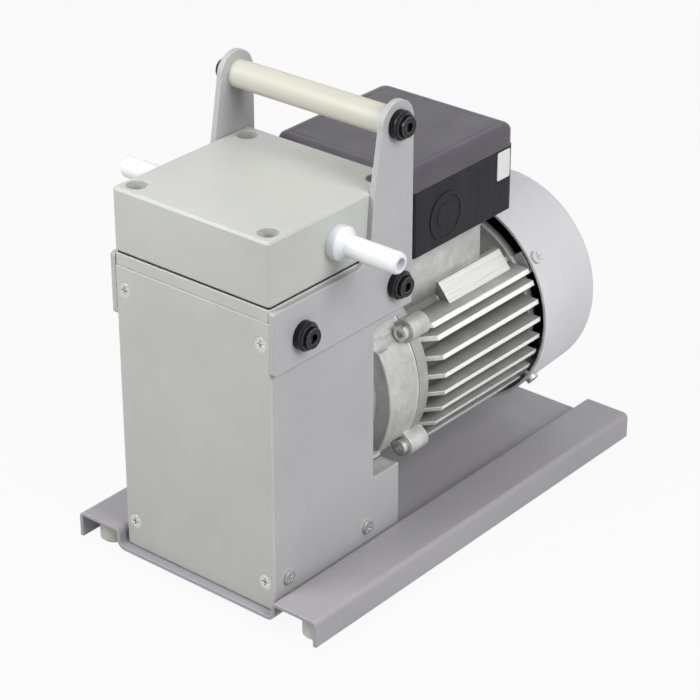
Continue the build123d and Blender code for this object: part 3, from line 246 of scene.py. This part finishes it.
# %% Tool line group
tree, inlet, outlet = new_group(
    "tool_lines",
    {
        "Place": ("NodeSocketVector", None),
        "Stretch": ("NodeSocketVector", (2500.0, 40.0, 2500.0)),
    },
    {"Height": "NodeSocketFloat", "Shine": "NodeSocketFloat"},
)
scaled = add_node(tree, "ShaderNodeVectorMath", operation="MULTIPLY")
put(tree, inlet.outputs["Place"], scaled.inputs[0])
put(tree, inlet.outputs["Stretch"], scaled.inputs[1])
lines = add_node(tree, "ShaderNodeTexNoise", {"Scale": 1.0, "Detail": 3.0, "Roughness": 0.6})
put(tree, scaled.outputs[0], lines.inputs["Vector"])
put(tree, lines.outputs[0], outlet.inputs["Height"])
put(tree, map_value(tree, lines.outputs[0], 0.30, 0.70), outlet.inputs["Shine"])
print("group", tree.name, "nodes", len(tree.nodes))

# %% [markdown]
# ## Dust
# A pump on a bench gathers a little dust where a surface looks up.  The mask
# is the upward part of the normal, broken up by noise, and stays faint.

# %% Dust group
tree, inlet, outlet = new_group(
    "settled_dust",
    {"Place": ("NodeSocketVector", None), "Amount": ("NodeSocketFloat", 0.10)},
    {"Mask": "NodeSocketFloat"},
)
geometry = tree.nodes.new("ShaderNodeNewGeometry")
upward = tree.nodes.new("ShaderNodeSeparateXYZ")
put(tree, geometry.outputs["Normal"], upward.inputs[0])
looks_up = map_value(tree, upward.outputs["Z"], 0.35, 1.0)
flecks = add_node(tree, "ShaderNodeTexNoise", {"Scale": 240.0, "Detail": 5.0, "Roughness": 0.75})
put(tree, inlet.outputs["Place"], flecks.inputs["Vector"])
patchy = combine(tree, "MULTIPLY", looks_up, map_value(tree, flecks.outputs[0], 0.42, 0.72))
put(tree, combine(tree, "MULTIPLY", patchy, inlet.outputs["Amount"]), outlet.inputs["Mask"])
print("group", tree.name, "nodes", len(tree.nodes))

# %% [markdown]
# ## Starting a material
# Each finish starts from the same three things: a Principled shader, Object
# coordinates, and a Bump node whose Normal begins with the rounded edge.

# %% Start a material
def start_finish(name, metallic=0.0, edge_radius=0.0006, bump=0.15, bump_depth=0.0001):
    """New material with shader, coordinates, edge group and bump; returns them in a dict."""
    material = bpy.data.materials.new(name)
    material.use_nodes = True
    tree = material.node_tree
    shader = tree.nodes["Principled BSDF"]
    shader.inputs["Metallic"].default_value = metallic
    place = tree.nodes.new("ShaderNodeTexCoord").outputs["Object"]
    edge = use_group(tree, "edge_light", {"Radius": edge_radius})
    relief = add_node(tree, "ShaderNodeBump", {"Strength": bump, "Distance": bump_depth})
    put(tree, edge.outputs["Normal"], relief.inputs["Normal"])
    put(tree, relief.outputs[0], shader.inputs["Normal"])
    return {"material": material, "tree": tree, "shader": shader, "place": place,
            "edge": edge.outputs["Mask"], "relief": relief}


print("shared groups", sorted(bpy.data.node_groups.keys()))

# %% [markdown]
# ## Painted sheet and castings
# The housing, cover, base and cowl are painted.  They share the paint skin
# and differ in colour, gloss and how bright an edge gets.  A thin layer of
# dust lies on what looks up.

# %% Paint recipe
SPECKLE_SHARE = 0.10
DUST_AMOUNT, DUST_COLOUR = 0.06, (0.55, 0.54, 0.50)
PAINT_EDGE_RADIUS, PAINT_BUMP = 0.0011, 0.12


def painted_finish(name, colour, edge_colour, gloss, drift=0.05, edge_amount=0.6):
    """Baked paint: drifting tone, fine speckle, brighter edges, orange peel and dust."""
    f = start_finish(name, edge_radius=PAINT_EDGE_RADIUS, bump=PAINT_BUMP)
    tree, shader = f["tree"], f["shader"]
    skin = use_group(tree, "paint_skin")
    put(tree, f["place"], skin.inputs["Place"])
    darker = tuple(c * (1 - drift) for c in colour)
    lighter = tuple(min(c * (1 + drift), 1) for c in colour)
    toned = blend_colours(tree, skin.outputs["Tone"], darker, lighter)
    speckle = combine(tree, "MULTIPLY", skin.outputs["Speckle"], SPECKLE_SHARE)
    speckled = blend_colours(tree, speckle, toned, edge_colour)
    # Edges lightened towards the edge colour: partly wear, partly a painted highlight.
    edge_mask = combine(tree, "MULTIPLY", f["edge"], edge_amount)
    edged = blend_colours(tree, edge_mask, speckled, edge_colour)
    fallen = use_group(tree, "settled_dust", {"Amount": DUST_AMOUNT})
    put(tree, f["place"], fallen.inputs["Place"])
    dusty = blend_colours(tree, fallen.outputs["Mask"], edged, DUST_COLOUR)
    put(tree, dusty, shader.inputs["Base Color"])
    rough = map_value(tree, skin.outputs["Tone"], 0.0, 1.0, gloss + 0.06, gloss - 0.05)
    put(tree, rough, shader.inputs["Roughness"])
    put(tree, skin.outputs["Height"], f["relief"].inputs["Height"])
    return f["material"]


print("paint recipe ready")

# %% Painted finishes
# Each row: colour, edge colour, gloss, and what differs from the recipe.
paints = {
    "base_paint": (
        (0.345, 0.336, 0.362), (0.74, 0.73, 0.76), 0.38, {"drift": 0.06, "edge_amount": 0.9}),
    "housing_paint": (
        (0.430, 0.430, 0.440), (0.84, 0.84, 0.85), 0.42, {"edge_amount": 0.9}),
    "cover_paint": (
        (0.490, 0.497, 0.467), (0.92, 0.92, 0.90), 0.44, {"edge_amount": 1.0}),
    "cowl_paint": (
        (0.680, 0.680, 0.708), (0.92, 0.92, 0.94), 0.40, {}),
}
finishes = {}
for name, (colour, edge_colour, gloss, more) in paints.items():
    finishes[name] = painted_finish(name, colour, edge_colour, gloss, **more)
print("painted finishes", sorted(finishes))

# %% [markdown]
# ## Cast aluminium of the motor
# The shields and the finned frame are blasted castings with a silvery skin.
# Cloudy patches and small pits are darker, and the edges are lightened: partly wear, partly a
# painted highlight.

# %% Cast aluminium
CAST_COLOUR, CAST_SHADE, CAST_BRIGHT = (0.64, 0.64, 0.63), (0.42, 0.42, 0.41), (0.98, 0.98, 0.97)
CAST_EDGE_SHARE, CAST_PIT_SHARE = 0.9, 0.25


def cast_finish(name):
    """Blasted casting: clouds, pits and bright edges; returns its parts for additions."""
    f = start_finish(name, metallic=0.35, edge_radius=0.0009, bump=0.30, bump_depth=0.00018)
    tree, shader = f["tree"], f["shader"]
    skin = use_group(tree, "cast_skin")
    put(tree, f["place"], skin.inputs["Place"])
    clouded = blend_colours(tree, skin.outputs["Cloud"], CAST_SHADE, CAST_COLOUR)
    pit_mask = combine(tree, "MULTIPLY", skin.outputs["Pits"], CAST_PIT_SHARE)
    pitted = blend_colours(tree, pit_mask, clouded, CAST_SHADE)
    # Edges lightened to CAST_BRIGHT: partly wear, partly a painted highlight.
    edge_mask = combine(tree, "MULTIPLY", f["edge"], CAST_EDGE_SHARE)
    f["colour"] = blend_colours(tree, edge_mask, pitted, CAST_BRIGHT)
    put(tree, f["colour"], shader.inputs["Base Color"])
    rough = map_value(tree, skin.outputs["Cloud"], 0.0, 1.0, 0.55, 0.42)
    put(tree, rough, shader.inputs["Roughness"])
    put(tree, skin.outputs["Height"], f["relief"].inputs["Height"])
    return f


finishes["cast_aluminium"] = cast_finish("cast_aluminium")["material"]
print("cast aluminium ready")

# %% [markdown]
# ## The finned stator frame
# It is the same casting with two marks of painted light.  The gaps between
# the fins get painted shade, darkest near the core, and the crests of the
# fins get a painted highlight.  The distance from the shaft tells the two
# apart, and the crests are where the surface also faces straight out.

# %% Stator casting: measures
CORE_RADIUS, CREST_START, CREST_FULL, CREST_END = 0.0468, 0.0562, 0.0574, 0.0590
CREST_FACING = 0.80
# Share and colour of the painted shade in the gaps between the fins.
GAP_SHADE_SHARE, GAP_SHADE_COLOUR = 0.94, (0.12, 0.12, 0.117)

stator = cast_finish("stator_casting")
tree = stator["tree"]
place_parts = tree.nodes.new("ShaderNodeSeparateXYZ")
put(tree, stator["place"], place_parts.inputs[0])
normal_parts = tree.nodes.new("ShaderNodeSeparateXYZ")
geometry = tree.nodes.new("ShaderNodeNewGeometry")
put(tree, geometry.outputs["True Normal"], normal_parts.inputs[0])

fan_low, fan_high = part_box("cooling_fan")
shaft_z = (fan_low.z + fan_high.z) / 2
side = place_parts.outputs["X"]
height = combine(tree, "SUBTRACT", place_parts.outputs["Z"], shaft_z)
side_squared = combine(tree, "MULTIPLY", side, side)
height_squared = combine(tree, "MULTIPLY", height, height)
radius = combine(tree, "SQRT", combine(tree, "ADD", side_squared, height_squared), 0.0)
print("shaft height", round(shaft_z, 4))

# %% Stator casting: painted shade in the gaps, painted highlight on the crests
side_share = combine(tree, "MULTIPLY", side, normal_parts.outputs["X"])
height_share = combine(tree, "MULTIPLY", height, normal_parts.outputs["Z"])
outward_share = combine(tree, "ADD", side_share, height_share)
facing = combine(tree, "DIVIDE", outward_share, radius)
faces_out = combine(tree, "GREATER_THAN", facing, CREST_FACING)
# Painted shade: the gaps are darkened from the core out to where the crests start.
gap_shade = combine(
    tree, "MULTIPLY", map_value(tree, radius, CORE_RADIUS, CREST_START, 1.0, 0.0), GAP_SHADE_SHARE)
# Painted highlight: the crests that face straight out are lightened to the bright cast colour.
crest_highlight = combine(tree, "MULTIPLY", map_value(tree, radius, CREST_START, CREST_FULL), faces_out)
crest_highlight = combine(tree, "MULTIPLY", crest_highlight, combine(tree, "LESS_THAN", radius, CREST_END))
shaded = blend_colours(tree, gap_shade, stator["colour"], GAP_SHADE_COLOUR)
finned_colour = blend_colours(tree, crest_highlight, shaded, CAST_BRIGHT)
print("stator gaps and crests ready")

# %% [markdown]
# ## The machined pads of the stator
# Two sloping pads below the terminal box are milled flat, so they are brighter
# and carry lines along the motor.  A box mask in Object coordinates picks
# them out of the casting.

# %% Stator casting: machined pads
PAD_LOW, PAD_HIGH, PAD_INNER, PAD_FRONT = 0.1188, 0.1296, 0.0338, 0.0180
PAD_FACING = 0.5
PAD_DARK, PAD_LIGHT = (0.66, 0.66, 0.65), (0.84, 0.84, 0.83)
sideways = combine(tree, "ABSOLUTE", side, 0.0)
turned_out = combine(tree, "ABSOLUTE", normal_parts.outputs["X"], 0.0)
on_pad = combine(tree, "GREATER_THAN", sideways, PAD_INNER)
for source, comparison, limit in (
    (place_parts.outputs["Z"], "GREATER_THAN", PAD_LOW),
    (place_parts.outputs["Z"], "LESS_THAN", PAD_HIGH),
    (place_parts.outputs["Y"], "GREATER_THAN", PAD_FRONT),
    (turned_out, "GREATER_THAN", PAD_FACING),
):
    on_pad = combine(tree, "MULTIPLY", on_pad, combine(tree, comparison, source, limit))
milled = use_group(tree, "tool_lines", {"Stretch": (1500.0, 30.0, 1500.0)})
put(tree, stator["place"], milled.inputs["Place"])
milled_colour = blend_colours(tree, milled.outputs["Shine"], PAD_DARK, PAD_LIGHT)
stator_colour = blend_colours(tree, on_pad, finned_colour, milled_colour)
put(tree, stator_colour, stator["shader"].inputs["Base Color"])
finishes["stator_casting"] = stator["material"]
print("stator nodes", len(tree.nodes))

# %% [markdown]
# ## Bare metals
# Screws are zinc plated, shafts and laminations are ground steel, and the
# discs of the drive are machined aluminium.  Tool lines and a shine that
# comes and goes along them do the work.

# %% Bare metals
METAL_EDGE_SHARE, METAL_EDGE_LIGHT = 0.7, 1.25


def metal_finish(name, dark, light, stretch, gloss=0.30):
    """Machined metal with tool lines and bright edges."""
    f = start_finish(name, metallic=0.95, edge_radius=0.0003, bump=0.10, bump_depth=0.00005)
    tree, shader = f["tree"], f["shader"]
    cut = use_group(tree, "tool_lines", {"Stretch": stretch})
    put(tree, f["place"], cut.inputs["Place"])
    body = blend_colours(tree, cut.outputs["Shine"], dark, light)
    # Edges lightened: partly wear, partly a painted highlight.
    edge_colour = tuple(min(1, c * METAL_EDGE_LIGHT) for c in light)
    edge_mask = combine(tree, "MULTIPLY", f["edge"], METAL_EDGE_SHARE)
    put(tree, blend_colours(tree, edge_mask, body, edge_colour), shader.inputs["Base Color"])
    rough = map_value(tree, cut.outputs["Shine"], 0.0, 1.0, gloss + 0.08, gloss - 0.05)
    put(tree, rough, shader.inputs["Roughness"])
    put(tree, cut.outputs["Height"], f["relief"].inputs["Height"])
    return f["material"]


finishes["zinc_steel"] = metal_finish(
    "zinc_steel", (0.52, 0.52, 0.50), (0.72, 0.72, 0.70), (900.0, 900.0, 900.0))
finishes["steel"] = metal_finish(
    "steel", (0.46, 0.46, 0.47), (0.66, 0.66, 0.67), (2500.0, 60.0, 2500.0))
finishes["machined_aluminium"] = metal_finish(
    "machined_aluminium", (0.70, 0.70, 0.71), (0.85, 0.85, 0.86), (2000.0, 2000.0, 50.0),
    gloss=0.34)
print("finishes so far", len(finishes))

# %% [markdown]
# ## Plastics and rubber
# The terminal box is black moulded plastic with upright flow marks, the
# nozzles are natural white and let a little light in, the handle is a cream
# tube, and the cups over the handle screws are glossy black.

# %% Plastic recipe
FINE_PEEL, FLOW_SHARE = 1600.0, 0.5


def moulded_finish(name, colour, light, gloss, flow=(220.0, 220.0, 12.0), edge_amount=0.5,
                   edge_radius=0.0006, edge_colour=None, bump=0.08, specular=0.5):
    """Moulded plastic: flow marks, fine texture and soft bright edges."""
    f = start_finish(name, edge_radius=edge_radius, bump=bump)
    tree, shader = f["tree"], f["shader"]
    skin = use_group(tree, "paint_skin", {"Peel": FINE_PEEL})
    put(tree, f["place"], skin.inputs["Place"])
    marks = use_group(tree, "tool_lines", {"Stretch": flow})
    put(tree, f["place"], marks.inputs["Place"])
    flow_mask = combine(tree, "MULTIPLY", marks.outputs["Shine"], FLOW_SHARE)
    flowing = blend_colours(tree, flow_mask, colour, light)
    # Edges lightened towards the edge colour: partly wear, partly a painted highlight.
    edge_colour = edge_colour or tuple(min(1, c * 2.0 + 0.02) for c in light)
    edge_mask = combine(tree, "MULTIPLY", f["edge"], edge_amount)
    put(tree, blend_colours(tree, edge_mask, flowing, edge_colour), shader.inputs["Base Color"])
    rough = map_value(tree, marks.outputs["Shine"], 0.0, 1.0, gloss + 0.07, gloss - 0.05)
    put(tree, rough, shader.inputs["Roughness"])
    put(tree, skin.outputs["Height"], f["relief"].inputs["Height"])
    shader.inputs["Specular IOR Level"].default_value = specular
    return f


print("plastic recipe ready")

# %% Plastics and rubbers
# Each row: colour, lighter colour, gloss, and what differs from the recipe.
plastics = {
    "black_plastic": (
        (0.010, 0.010, 0.012), (0.020, 0.019, 0.025), 0.40, {"specular": 0.18}),
    # The lid's wider, stronger edge lightening is a painted highlight along its rim.
    "dark_grey_plastic": (
        (0.088, 0.084, 0.098), (0.118, 0.113, 0.130), 0.30,
        {"flow": (60.0, 60.0, 60.0), "edge_amount": 0.7, "edge_radius": 0.0012,
         "specular": 0.22}),
    # The light edge colour of the glossy cups is a painted highlight: bright rims for their
    # glints.
    "gloss_black": (
        (0.005, 0.005, 0.006), (0.012, 0.012, 0.014), 0.10,
        {"flow": (90.0, 90.0, 90.0), "edge_amount": 0.8, "edge_radius": 0.0005,
         "edge_colour": (0.40, 0.40, 0.42), "specular": 0.25}),
    "black_rubber": (
        (0.012, 0.012, 0.012), (0.024, 0.024, 0.024), 0.70,
        {"flow": (200.0, 200.0, 200.0), "bump": 0.2}),
    "cream_plastic": (
        (0.560, 0.560, 0.480), (0.640, 0.640, 0.550), 0.38, {"flow": (8.0, 300.0, 300.0)}),
    "foot_rubber": (
        (0.62, 0.62, 0.56), (0.72, 0.72, 0.66), 0.60, {"flow": (150.0, 150.0, 150.0)}),
}
for name, (colour, light, gloss, more) in plastics.items():
    finishes[name] = moulded_finish(name, colour, light, gloss, **more)["material"]
print("plastics", sorted(plastics))

# %% White plastic of the nozzles
SKIN_DEPTH = 0.004
nozzle = moulded_finish("white_plastic", (0.80, 0.82, 0.86), (0.88, 0.89, 0.92), 0.28,
                        flow=(14.0, 260.0, 260.0), edge_radius=0.0008)
nozzle["shader"].inputs["Subsurface Weight"].default_value = 0.25
nozzle["shader"].inputs["Subsurface Radius"].default_value = (SKIN_DEPTH, SKIN_DEPTH, SKIN_DEPTH)
nozzle["shader"].inputs["Subsurface Scale"].default_value = 1.0
finishes["white_plastic"] = nozzle["material"]
print("light enters the nozzles by", SKIN_DEPTH, "m")

# %% [markdown]
# ## Varnished copper
# The heads of the windings are bundles of varnished wire laid round the bore.
# A Wave texture in rings makes the wires.

# %% Copper windings
f = start_finish("copper", metallic=0.6, bump=0.6, bump_depth=0.0004)
tree = f["tree"]
wires = add_node(
    tree, "ShaderNodeTexWave", {"Scale": 420.0, "Distortion": 3.0, "Detail": 2.0},
    wave_type="RINGS", rings_direction="Y")
put(tree, f["place"], wires.inputs["Vector"])
put(tree, blend_colours(tree, wires.outputs["Fac"], (0.26, 0.09, 0.03), (0.75, 0.36, 0.15)),
    f["shader"].inputs["Base Color"])
rough = map_value(tree, wires.outputs["Fac"], 0.0, 1.0, 0.5, 0.28)
put(tree, rough, f["shader"].inputs["Roughness"])
put(tree, wires.outputs["Fac"], f["relief"].inputs["Height"])
finishes["copper"] = f["material"]
print("finishes in all", len(finishes))

# %% [markdown]
# ## Giving the finishes to the parts
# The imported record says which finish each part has.  The stator frame alone
# gets the casting with its machined pads.

# %% Assign finishes
slot_of = {row["node"]: row["material_slot"] for row in frame["record"]["subparts"]}
for name, part in nodes.items():
    finish = "stator_casting" if name == "stator_housing" else slot_of[name]
    part.data.materials.clear()
    part.data.materials.append(finishes[finish])
print("parts with a finish", len(nodes))


# %% [markdown]
# ## Small pieces: tools
# The pieces below are modelled by hand steps: a primitive at its place, then
# edit mode.  Helpers start a piece, select faces or edges by a rule, extrude
# them, and finish the piece.  A finished piece sits at the origin with its
# place in its mesh, so that patterns on Object coordinates stay where they are.

# %% Helpers for modelling
def pick(kind, rule):
    """In edit mode, selects only the faces or edges for which rule is true."""
    bpy.ops.mesh.select_all(action="DESELECT")
    bpy.ops.mesh.select_mode(type=kind)
    mesh = bmesh.from_edit_mesh(bpy.context.object.data)
    for element in (mesh.faces if kind == "FACE" else mesh.edges):
        if rule(element):
            element.select_set(True)
    mesh.select_flush_mode()
    bmesh.update_edit_mesh(bpy.context.object.data)


def start_piece(add_primitive, **place):
    """Deselects everything and adds one primitive."""
    bpy.ops.object.select_all(action="DESELECT")
    add_primitive(**place)
    return bpy.context.object


def push(x=0.0, y=0.0, z=0.0):
    """Extrudes the selected faces by a distance."""
    bpy.ops.mesh.extrude_region_move(TRANSFORM_OT_translate={"value": (x, y, z)})


def finish_piece(name, material, body="pump_body", smooth_angle=40):
    """Applies the place, names the piece, gives its finish, and lets it ride on a body."""
    piece = bpy.context.object
    bpy.ops.object.mode_set(mode="OBJECT")
    bpy.ops.object.transform_apply(location=True, rotation=True, scale=True)
    piece.name = name
    piece.data.name = name
    piece.data.materials.clear()
    piece.data.materials.append(material)
    bpy.ops.object.shade_smooth_by_angle(angle=math.radians(smooth_angle))
    piece.select_set(False)
    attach(piece, body)
    print(name, "faces", len(piece.data.polygons))
    return piece


print("modelling helpers ready")

# %% [markdown]
# ## Blank plate on the terminal box
# A small white plate with round corners is stuck near the top rear corner of
# the box.  It is left blank.

# %% Blank plate
plate_paint = moulded_finish(
    "white_plate", (0.78, 0.78, 0.78), (0.86, 0.86, 0.86), 0.35,
    flow=(40.0, 40.0, 40.0), edge_amount=0.3)["material"]
box_low, box_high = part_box("terminal_box")
PLATE_SIZE = (0.0004, 0.0106, 0.0158)
PLATE_Y, PLATE_Z = 0.0607, 0.1834
PLATE_CORNER, PLATE_RIM = 0.0011, 0.00008
THINNER_THAN_PLATE = 0.0001
plate_place = (box_high.x + PLATE_SIZE[0] / 2, PLATE_Y, PLATE_Z)
start_piece(bpy.ops.mesh.primitive_cube_add, size=1, location=plate_place, scale=PLATE_SIZE)
bpy.ops.object.transform_apply(location=False, rotation=False, scale=True)
bpy.ops.object.mode_set(mode="EDIT")
pick("EDGE", lambda e: abs(e.verts[0].co.x - e.verts[1].co.x) > THINNER_THAN_PLATE)
bpy.ops.mesh.bevel(offset=PLATE_CORNER, segments=5, affect="EDGES")
pick("EDGE", lambda e: all(v.co.x > THINNER_THAN_PLATE for v in e.verts))
bpy.ops.mesh.bevel(offset=PLATE_RIM, segments=1, affect="EDGES")
finish_piece("blank_plate", plate_paint)

# %% [markdown]
# ## Knock-outs of the terminal box
# Both sides of the box have a thin round place that can be knocked out for a
# cable.  Each is a shallow disc with a sunk ring, made from a cylinder by
# insets and extrusions of its outer face.

# %% Knock-outs
KNOCKOUT_RADIUS, KNOCKOUT_RISE = 0.0132, 0.0004
KNOCKOUT_RIM, KNOCKOUT_STEP, KNOCKOUT_RING = 0.0012, 0.0006, 0.0035
KNOCKOUT_SINK, KNOCKOUT_BACK = 0.0003, 0.0002
KNOCKOUT_DROP = 0.003
knockout_y, knockout_z = 0.0129, (box_low.z + box_high.z) / 2 - KNOCKOUT_DROP


def knock_out(name, side):
    """Raised disc with a sunk ring on one side of the terminal box."""
    start_piece(
        bpy.ops.mesh.primitive_cylinder_add,
        vertices=56, radius=KNOCKOUT_RADIUS, depth=KNOCKOUT_RISE,
        location=(side * (box_high.x + KNOCKOUT_RISE / 2), knockout_y, knockout_z),
        rotation=(0, side * math.radians(90), 0),
    )
    bpy.ops.object.mode_set(mode="EDIT")
    pick("FACE", lambda f: len(f.verts) > 4 and f.normal.z > 0.9)
    bpy.ops.mesh.inset(thickness=KNOCKOUT_RIM)
    bpy.ops.mesh.inset(thickness=KNOCKOUT_STEP)
    push(x=-side * KNOCKOUT_SINK)
    bpy.ops.mesh.inset(thickness=KNOCKOUT_RING)
    bpy.ops.mesh.inset(thickness=KNOCKOUT_STEP)
    push(x=side * KNOCKOUT_BACK)
    finish_piece(name, finishes["black_plastic"])


knock_out("knockout_right", 1)
knock_out("knockout_left", -1)

# %% [markdown]
# ## The cooling fan
# The fan is one moulding: a full disc on the motor's side that closes the
# cowl off, a hub with a sunk end, and eight upright blades whose outer rear
# corners are round.  The black disc is also a dark sheet for the shade inside
# the cowl: it keeps the white background from showing through the grille and
# the gap at the stator.  The disc is inset and extruded from a cylinder, one
# blade is shaped from a block, and the blade is copied round the shaft.

# %% Fan disc and hub
FAN_DISC, FAN_RIM, FAN_RIM_STEP = 0.002, 0.0008, 0.0006
FAN_HUB, HUB_WALL, HUB_SINK = 0.013, 0.0035, 0.0030
fan_radius = (fan_high.x - fan_low.x) / 2
fan_length = fan_high.y - fan_low.y
# Black disc: a dark sheet for the shade inside the cowl.
fan_disc = start_piece(
    bpy.ops.mesh.primitive_cylinder_add,
    vertices=96, radius=fan_radius, depth=FAN_DISC, rotation=(math.radians(90), 0, 0),
    location=(0, fan_low.y + FAN_DISC / 2, shaft_z),
)
bpy.ops.object.mode_set(mode="EDIT")
pick("FACE", lambda f: len(f.verts) > 4 and f.normal.z < -0.9)
bpy.ops.mesh.inset(thickness=FAN_RIM)
push(y=FAN_RIM_STEP)
bpy.ops.mesh.inset(thickness=fan_radius - FAN_HUB - FAN_RIM)
push(y=fan_length - FAN_DISC - FAN_RIM_STEP)
bpy.ops.mesh.inset(thickness=HUB_WALL)
push(y=-HUB_SINK)
bpy.ops.object.mode_set(mode="OBJECT")
bpy.ops.object.transform_apply(location=True, rotation=True, scale=True)
print("fan radius", round(fan_radius, 4), "length", round(fan_length, 4))

# %% One fan blade
BLADE_THICKNESS, BLADE_ROUND, BLADE_ROOT = 0.0018, 0.007, 0.001
NEAR = 0.001
blade_span = fan_radius - FAN_HUB + BLADE_ROOT
blade = start_piece(
    bpy.ops.mesh.primitive_cube_add,
    size=1, scale=(blade_span, fan_length - FAN_DISC, BLADE_THICKNESS),
    location=(
        FAN_HUB - BLADE_ROOT + blade_span / 2,
        (fan_low.y + FAN_DISC + fan_high.y) / 2,
        shaft_z,
    ),
)
bpy.ops.object.transform_apply(location=True, rotation=True, scale=True)
bpy.ops.object.mode_set(mode="EDIT")
outer_x, rear_y = fan_radius - NEAR, fan_high.y - NEAR
pick("EDGE", lambda e: all(v.co.x > outer_x and v.co.y > rear_y for v in e.verts))
bpy.ops.mesh.bevel(offset=BLADE_ROUND, segments=6, affect="EDGES")
bpy.ops.object.mode_set(mode="OBJECT")
print("blade faces", len(blade.data.polygons))

# %% All fan blades
FAN_BLADES = 8
blades = [blade]
about_shaft = Matrix.Translation((0, 0, shaft_z))
for step in range(1, FAN_BLADES):
    turned = Matrix.Rotation(2 * math.pi * step / FAN_BLADES, 4, "Y")
    copy = blade.copy()
    copy.data = blade.data.copy()
    copy.data.transform(about_shaft @ turned @ about_shaft.inverted())
    scene.collection.objects.link(copy)
    blades.append(copy)
bpy.ops.object.select_all(action="DESELECT")
for piece in [fan_disc, *blades]:
    piece.select_set(True)
bpy.context.view_layer.objects.active = fan_disc
bpy.ops.object.join()
fan = finish_piece(
    "fan_impeller", finishes["black_plastic"], body="crankshaft",
    smooth_angle=35)
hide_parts("cooling_fan")

# %% [markdown]
# ## Light and floor
# A white world and three soft lamps light the pump at a plain level.  The
# rays that look for a background see the floor and the world as white, while
# the floor still takes the pump's soft shadow and throws light back up.

# %% World
SKY_LEVEL = 0.22


def background_rays(tree):
    """One for the rays that should see a white background, zero for the rest."""
    ray = tree.nodes.new("ShaderNodeLightPath")
    seen = combine(tree, "MAXIMUM", ray.outputs["Is Camera Ray"], ray.outputs["Is Glossy Ray"])
    return combine(tree, "MAXIMUM", seen, ray.outputs["Is Transmission Ray"])


scene.view_settings.view_transform = "Standard"
world = bpy.data.worlds.new("studio")
scene.world = world
world.use_nodes = True
tree = world.node_tree
sky_light = tree.nodes["Background"]
sky_light.inputs["Color"].default_value = (1, 1, 1, 1)
sky_light.inputs["Strength"].default_value = SKY_LEVEL
seen_white = add_node(tree, "ShaderNodeBackground", {"Color": (1, 1, 1, 1), "Strength": 1.0})
sky_choice = tree.nodes.new("ShaderNodeMixShader")
put(tree, background_rays(tree), sky_choice.inputs[0])
put(tree, sky_light.outputs[0], sky_choice.inputs[1])
put(tree, seen_white.outputs[0], sky_choice.inputs[2])
put(tree, sky_choice.outputs[0], tree.nodes["World Output"].inputs["Surface"])
print("sky level", SKY_LEVEL)


# %% Lamps
LAMP_TARGET = Vector((0, 0, 0.12))


def soft_lamp(name, place, size, power):
    """Square area lamp that looks at the middle of the pump."""
    aim = LAMP_TARGET - Vector(place)
    turned = aim.to_track_quat("-Z", "Y").to_euler()
    bpy.ops.object.light_add(type="AREA", location=place, rotation=turned)
    lamp = bpy.context.object
    lamp.name = name
    lamp.data.size = size
    lamp.data.energy = power
    print(name, power, "W")


soft_lamp("key_lamp", (-0.20, -0.56, 0.62), 0.40, 4.2)
soft_lamp("side_lamp", (1.05, -0.05, 0.90), 0.7, 12.0)
soft_lamp("top_lamp", (-0.1, 0.2, 1.5), 0.8, 1.0)

# %% Floor
FLOOR_SIZE, FLOOR_GREY, FLOOR_WHITE = 8, 0.45, 0.93
floor = start_piece(bpy.ops.mesh.primitive_plane_add, size=FLOOR_SIZE, location=(0, 0, 0))
floor.name = "floor"
pale = bpy.data.materials.new("pale_floor")
pale.use_nodes = True
tree = pale.node_tree
shader = tree.nodes["Principled BSDF"]
shader.inputs["Base Color"].default_value = (FLOOR_GREY, FLOOR_GREY, FLOOR_GREY, 1)
shader.inputs["Roughness"].default_value = 0.8
white = add_node(tree, "ShaderNodeEmission", {"Color": (1, 1, 1, 1), "Strength": 1.0})
choice = tree.nodes.new("ShaderNodeMixShader")
put(tree, combine(tree, "MULTIPLY", background_rays(tree), FLOOR_WHITE), choice.inputs[0])
put(tree, shader.outputs[0], choice.inputs[1])
put(tree, white.outputs[0], choice.inputs[2])
put(tree, choice.outputs[0], tree.nodes["Material Output"].inputs["Surface"])
floor.data.materials.append(pale)
print("floor size", FLOOR_SIZE, "m")
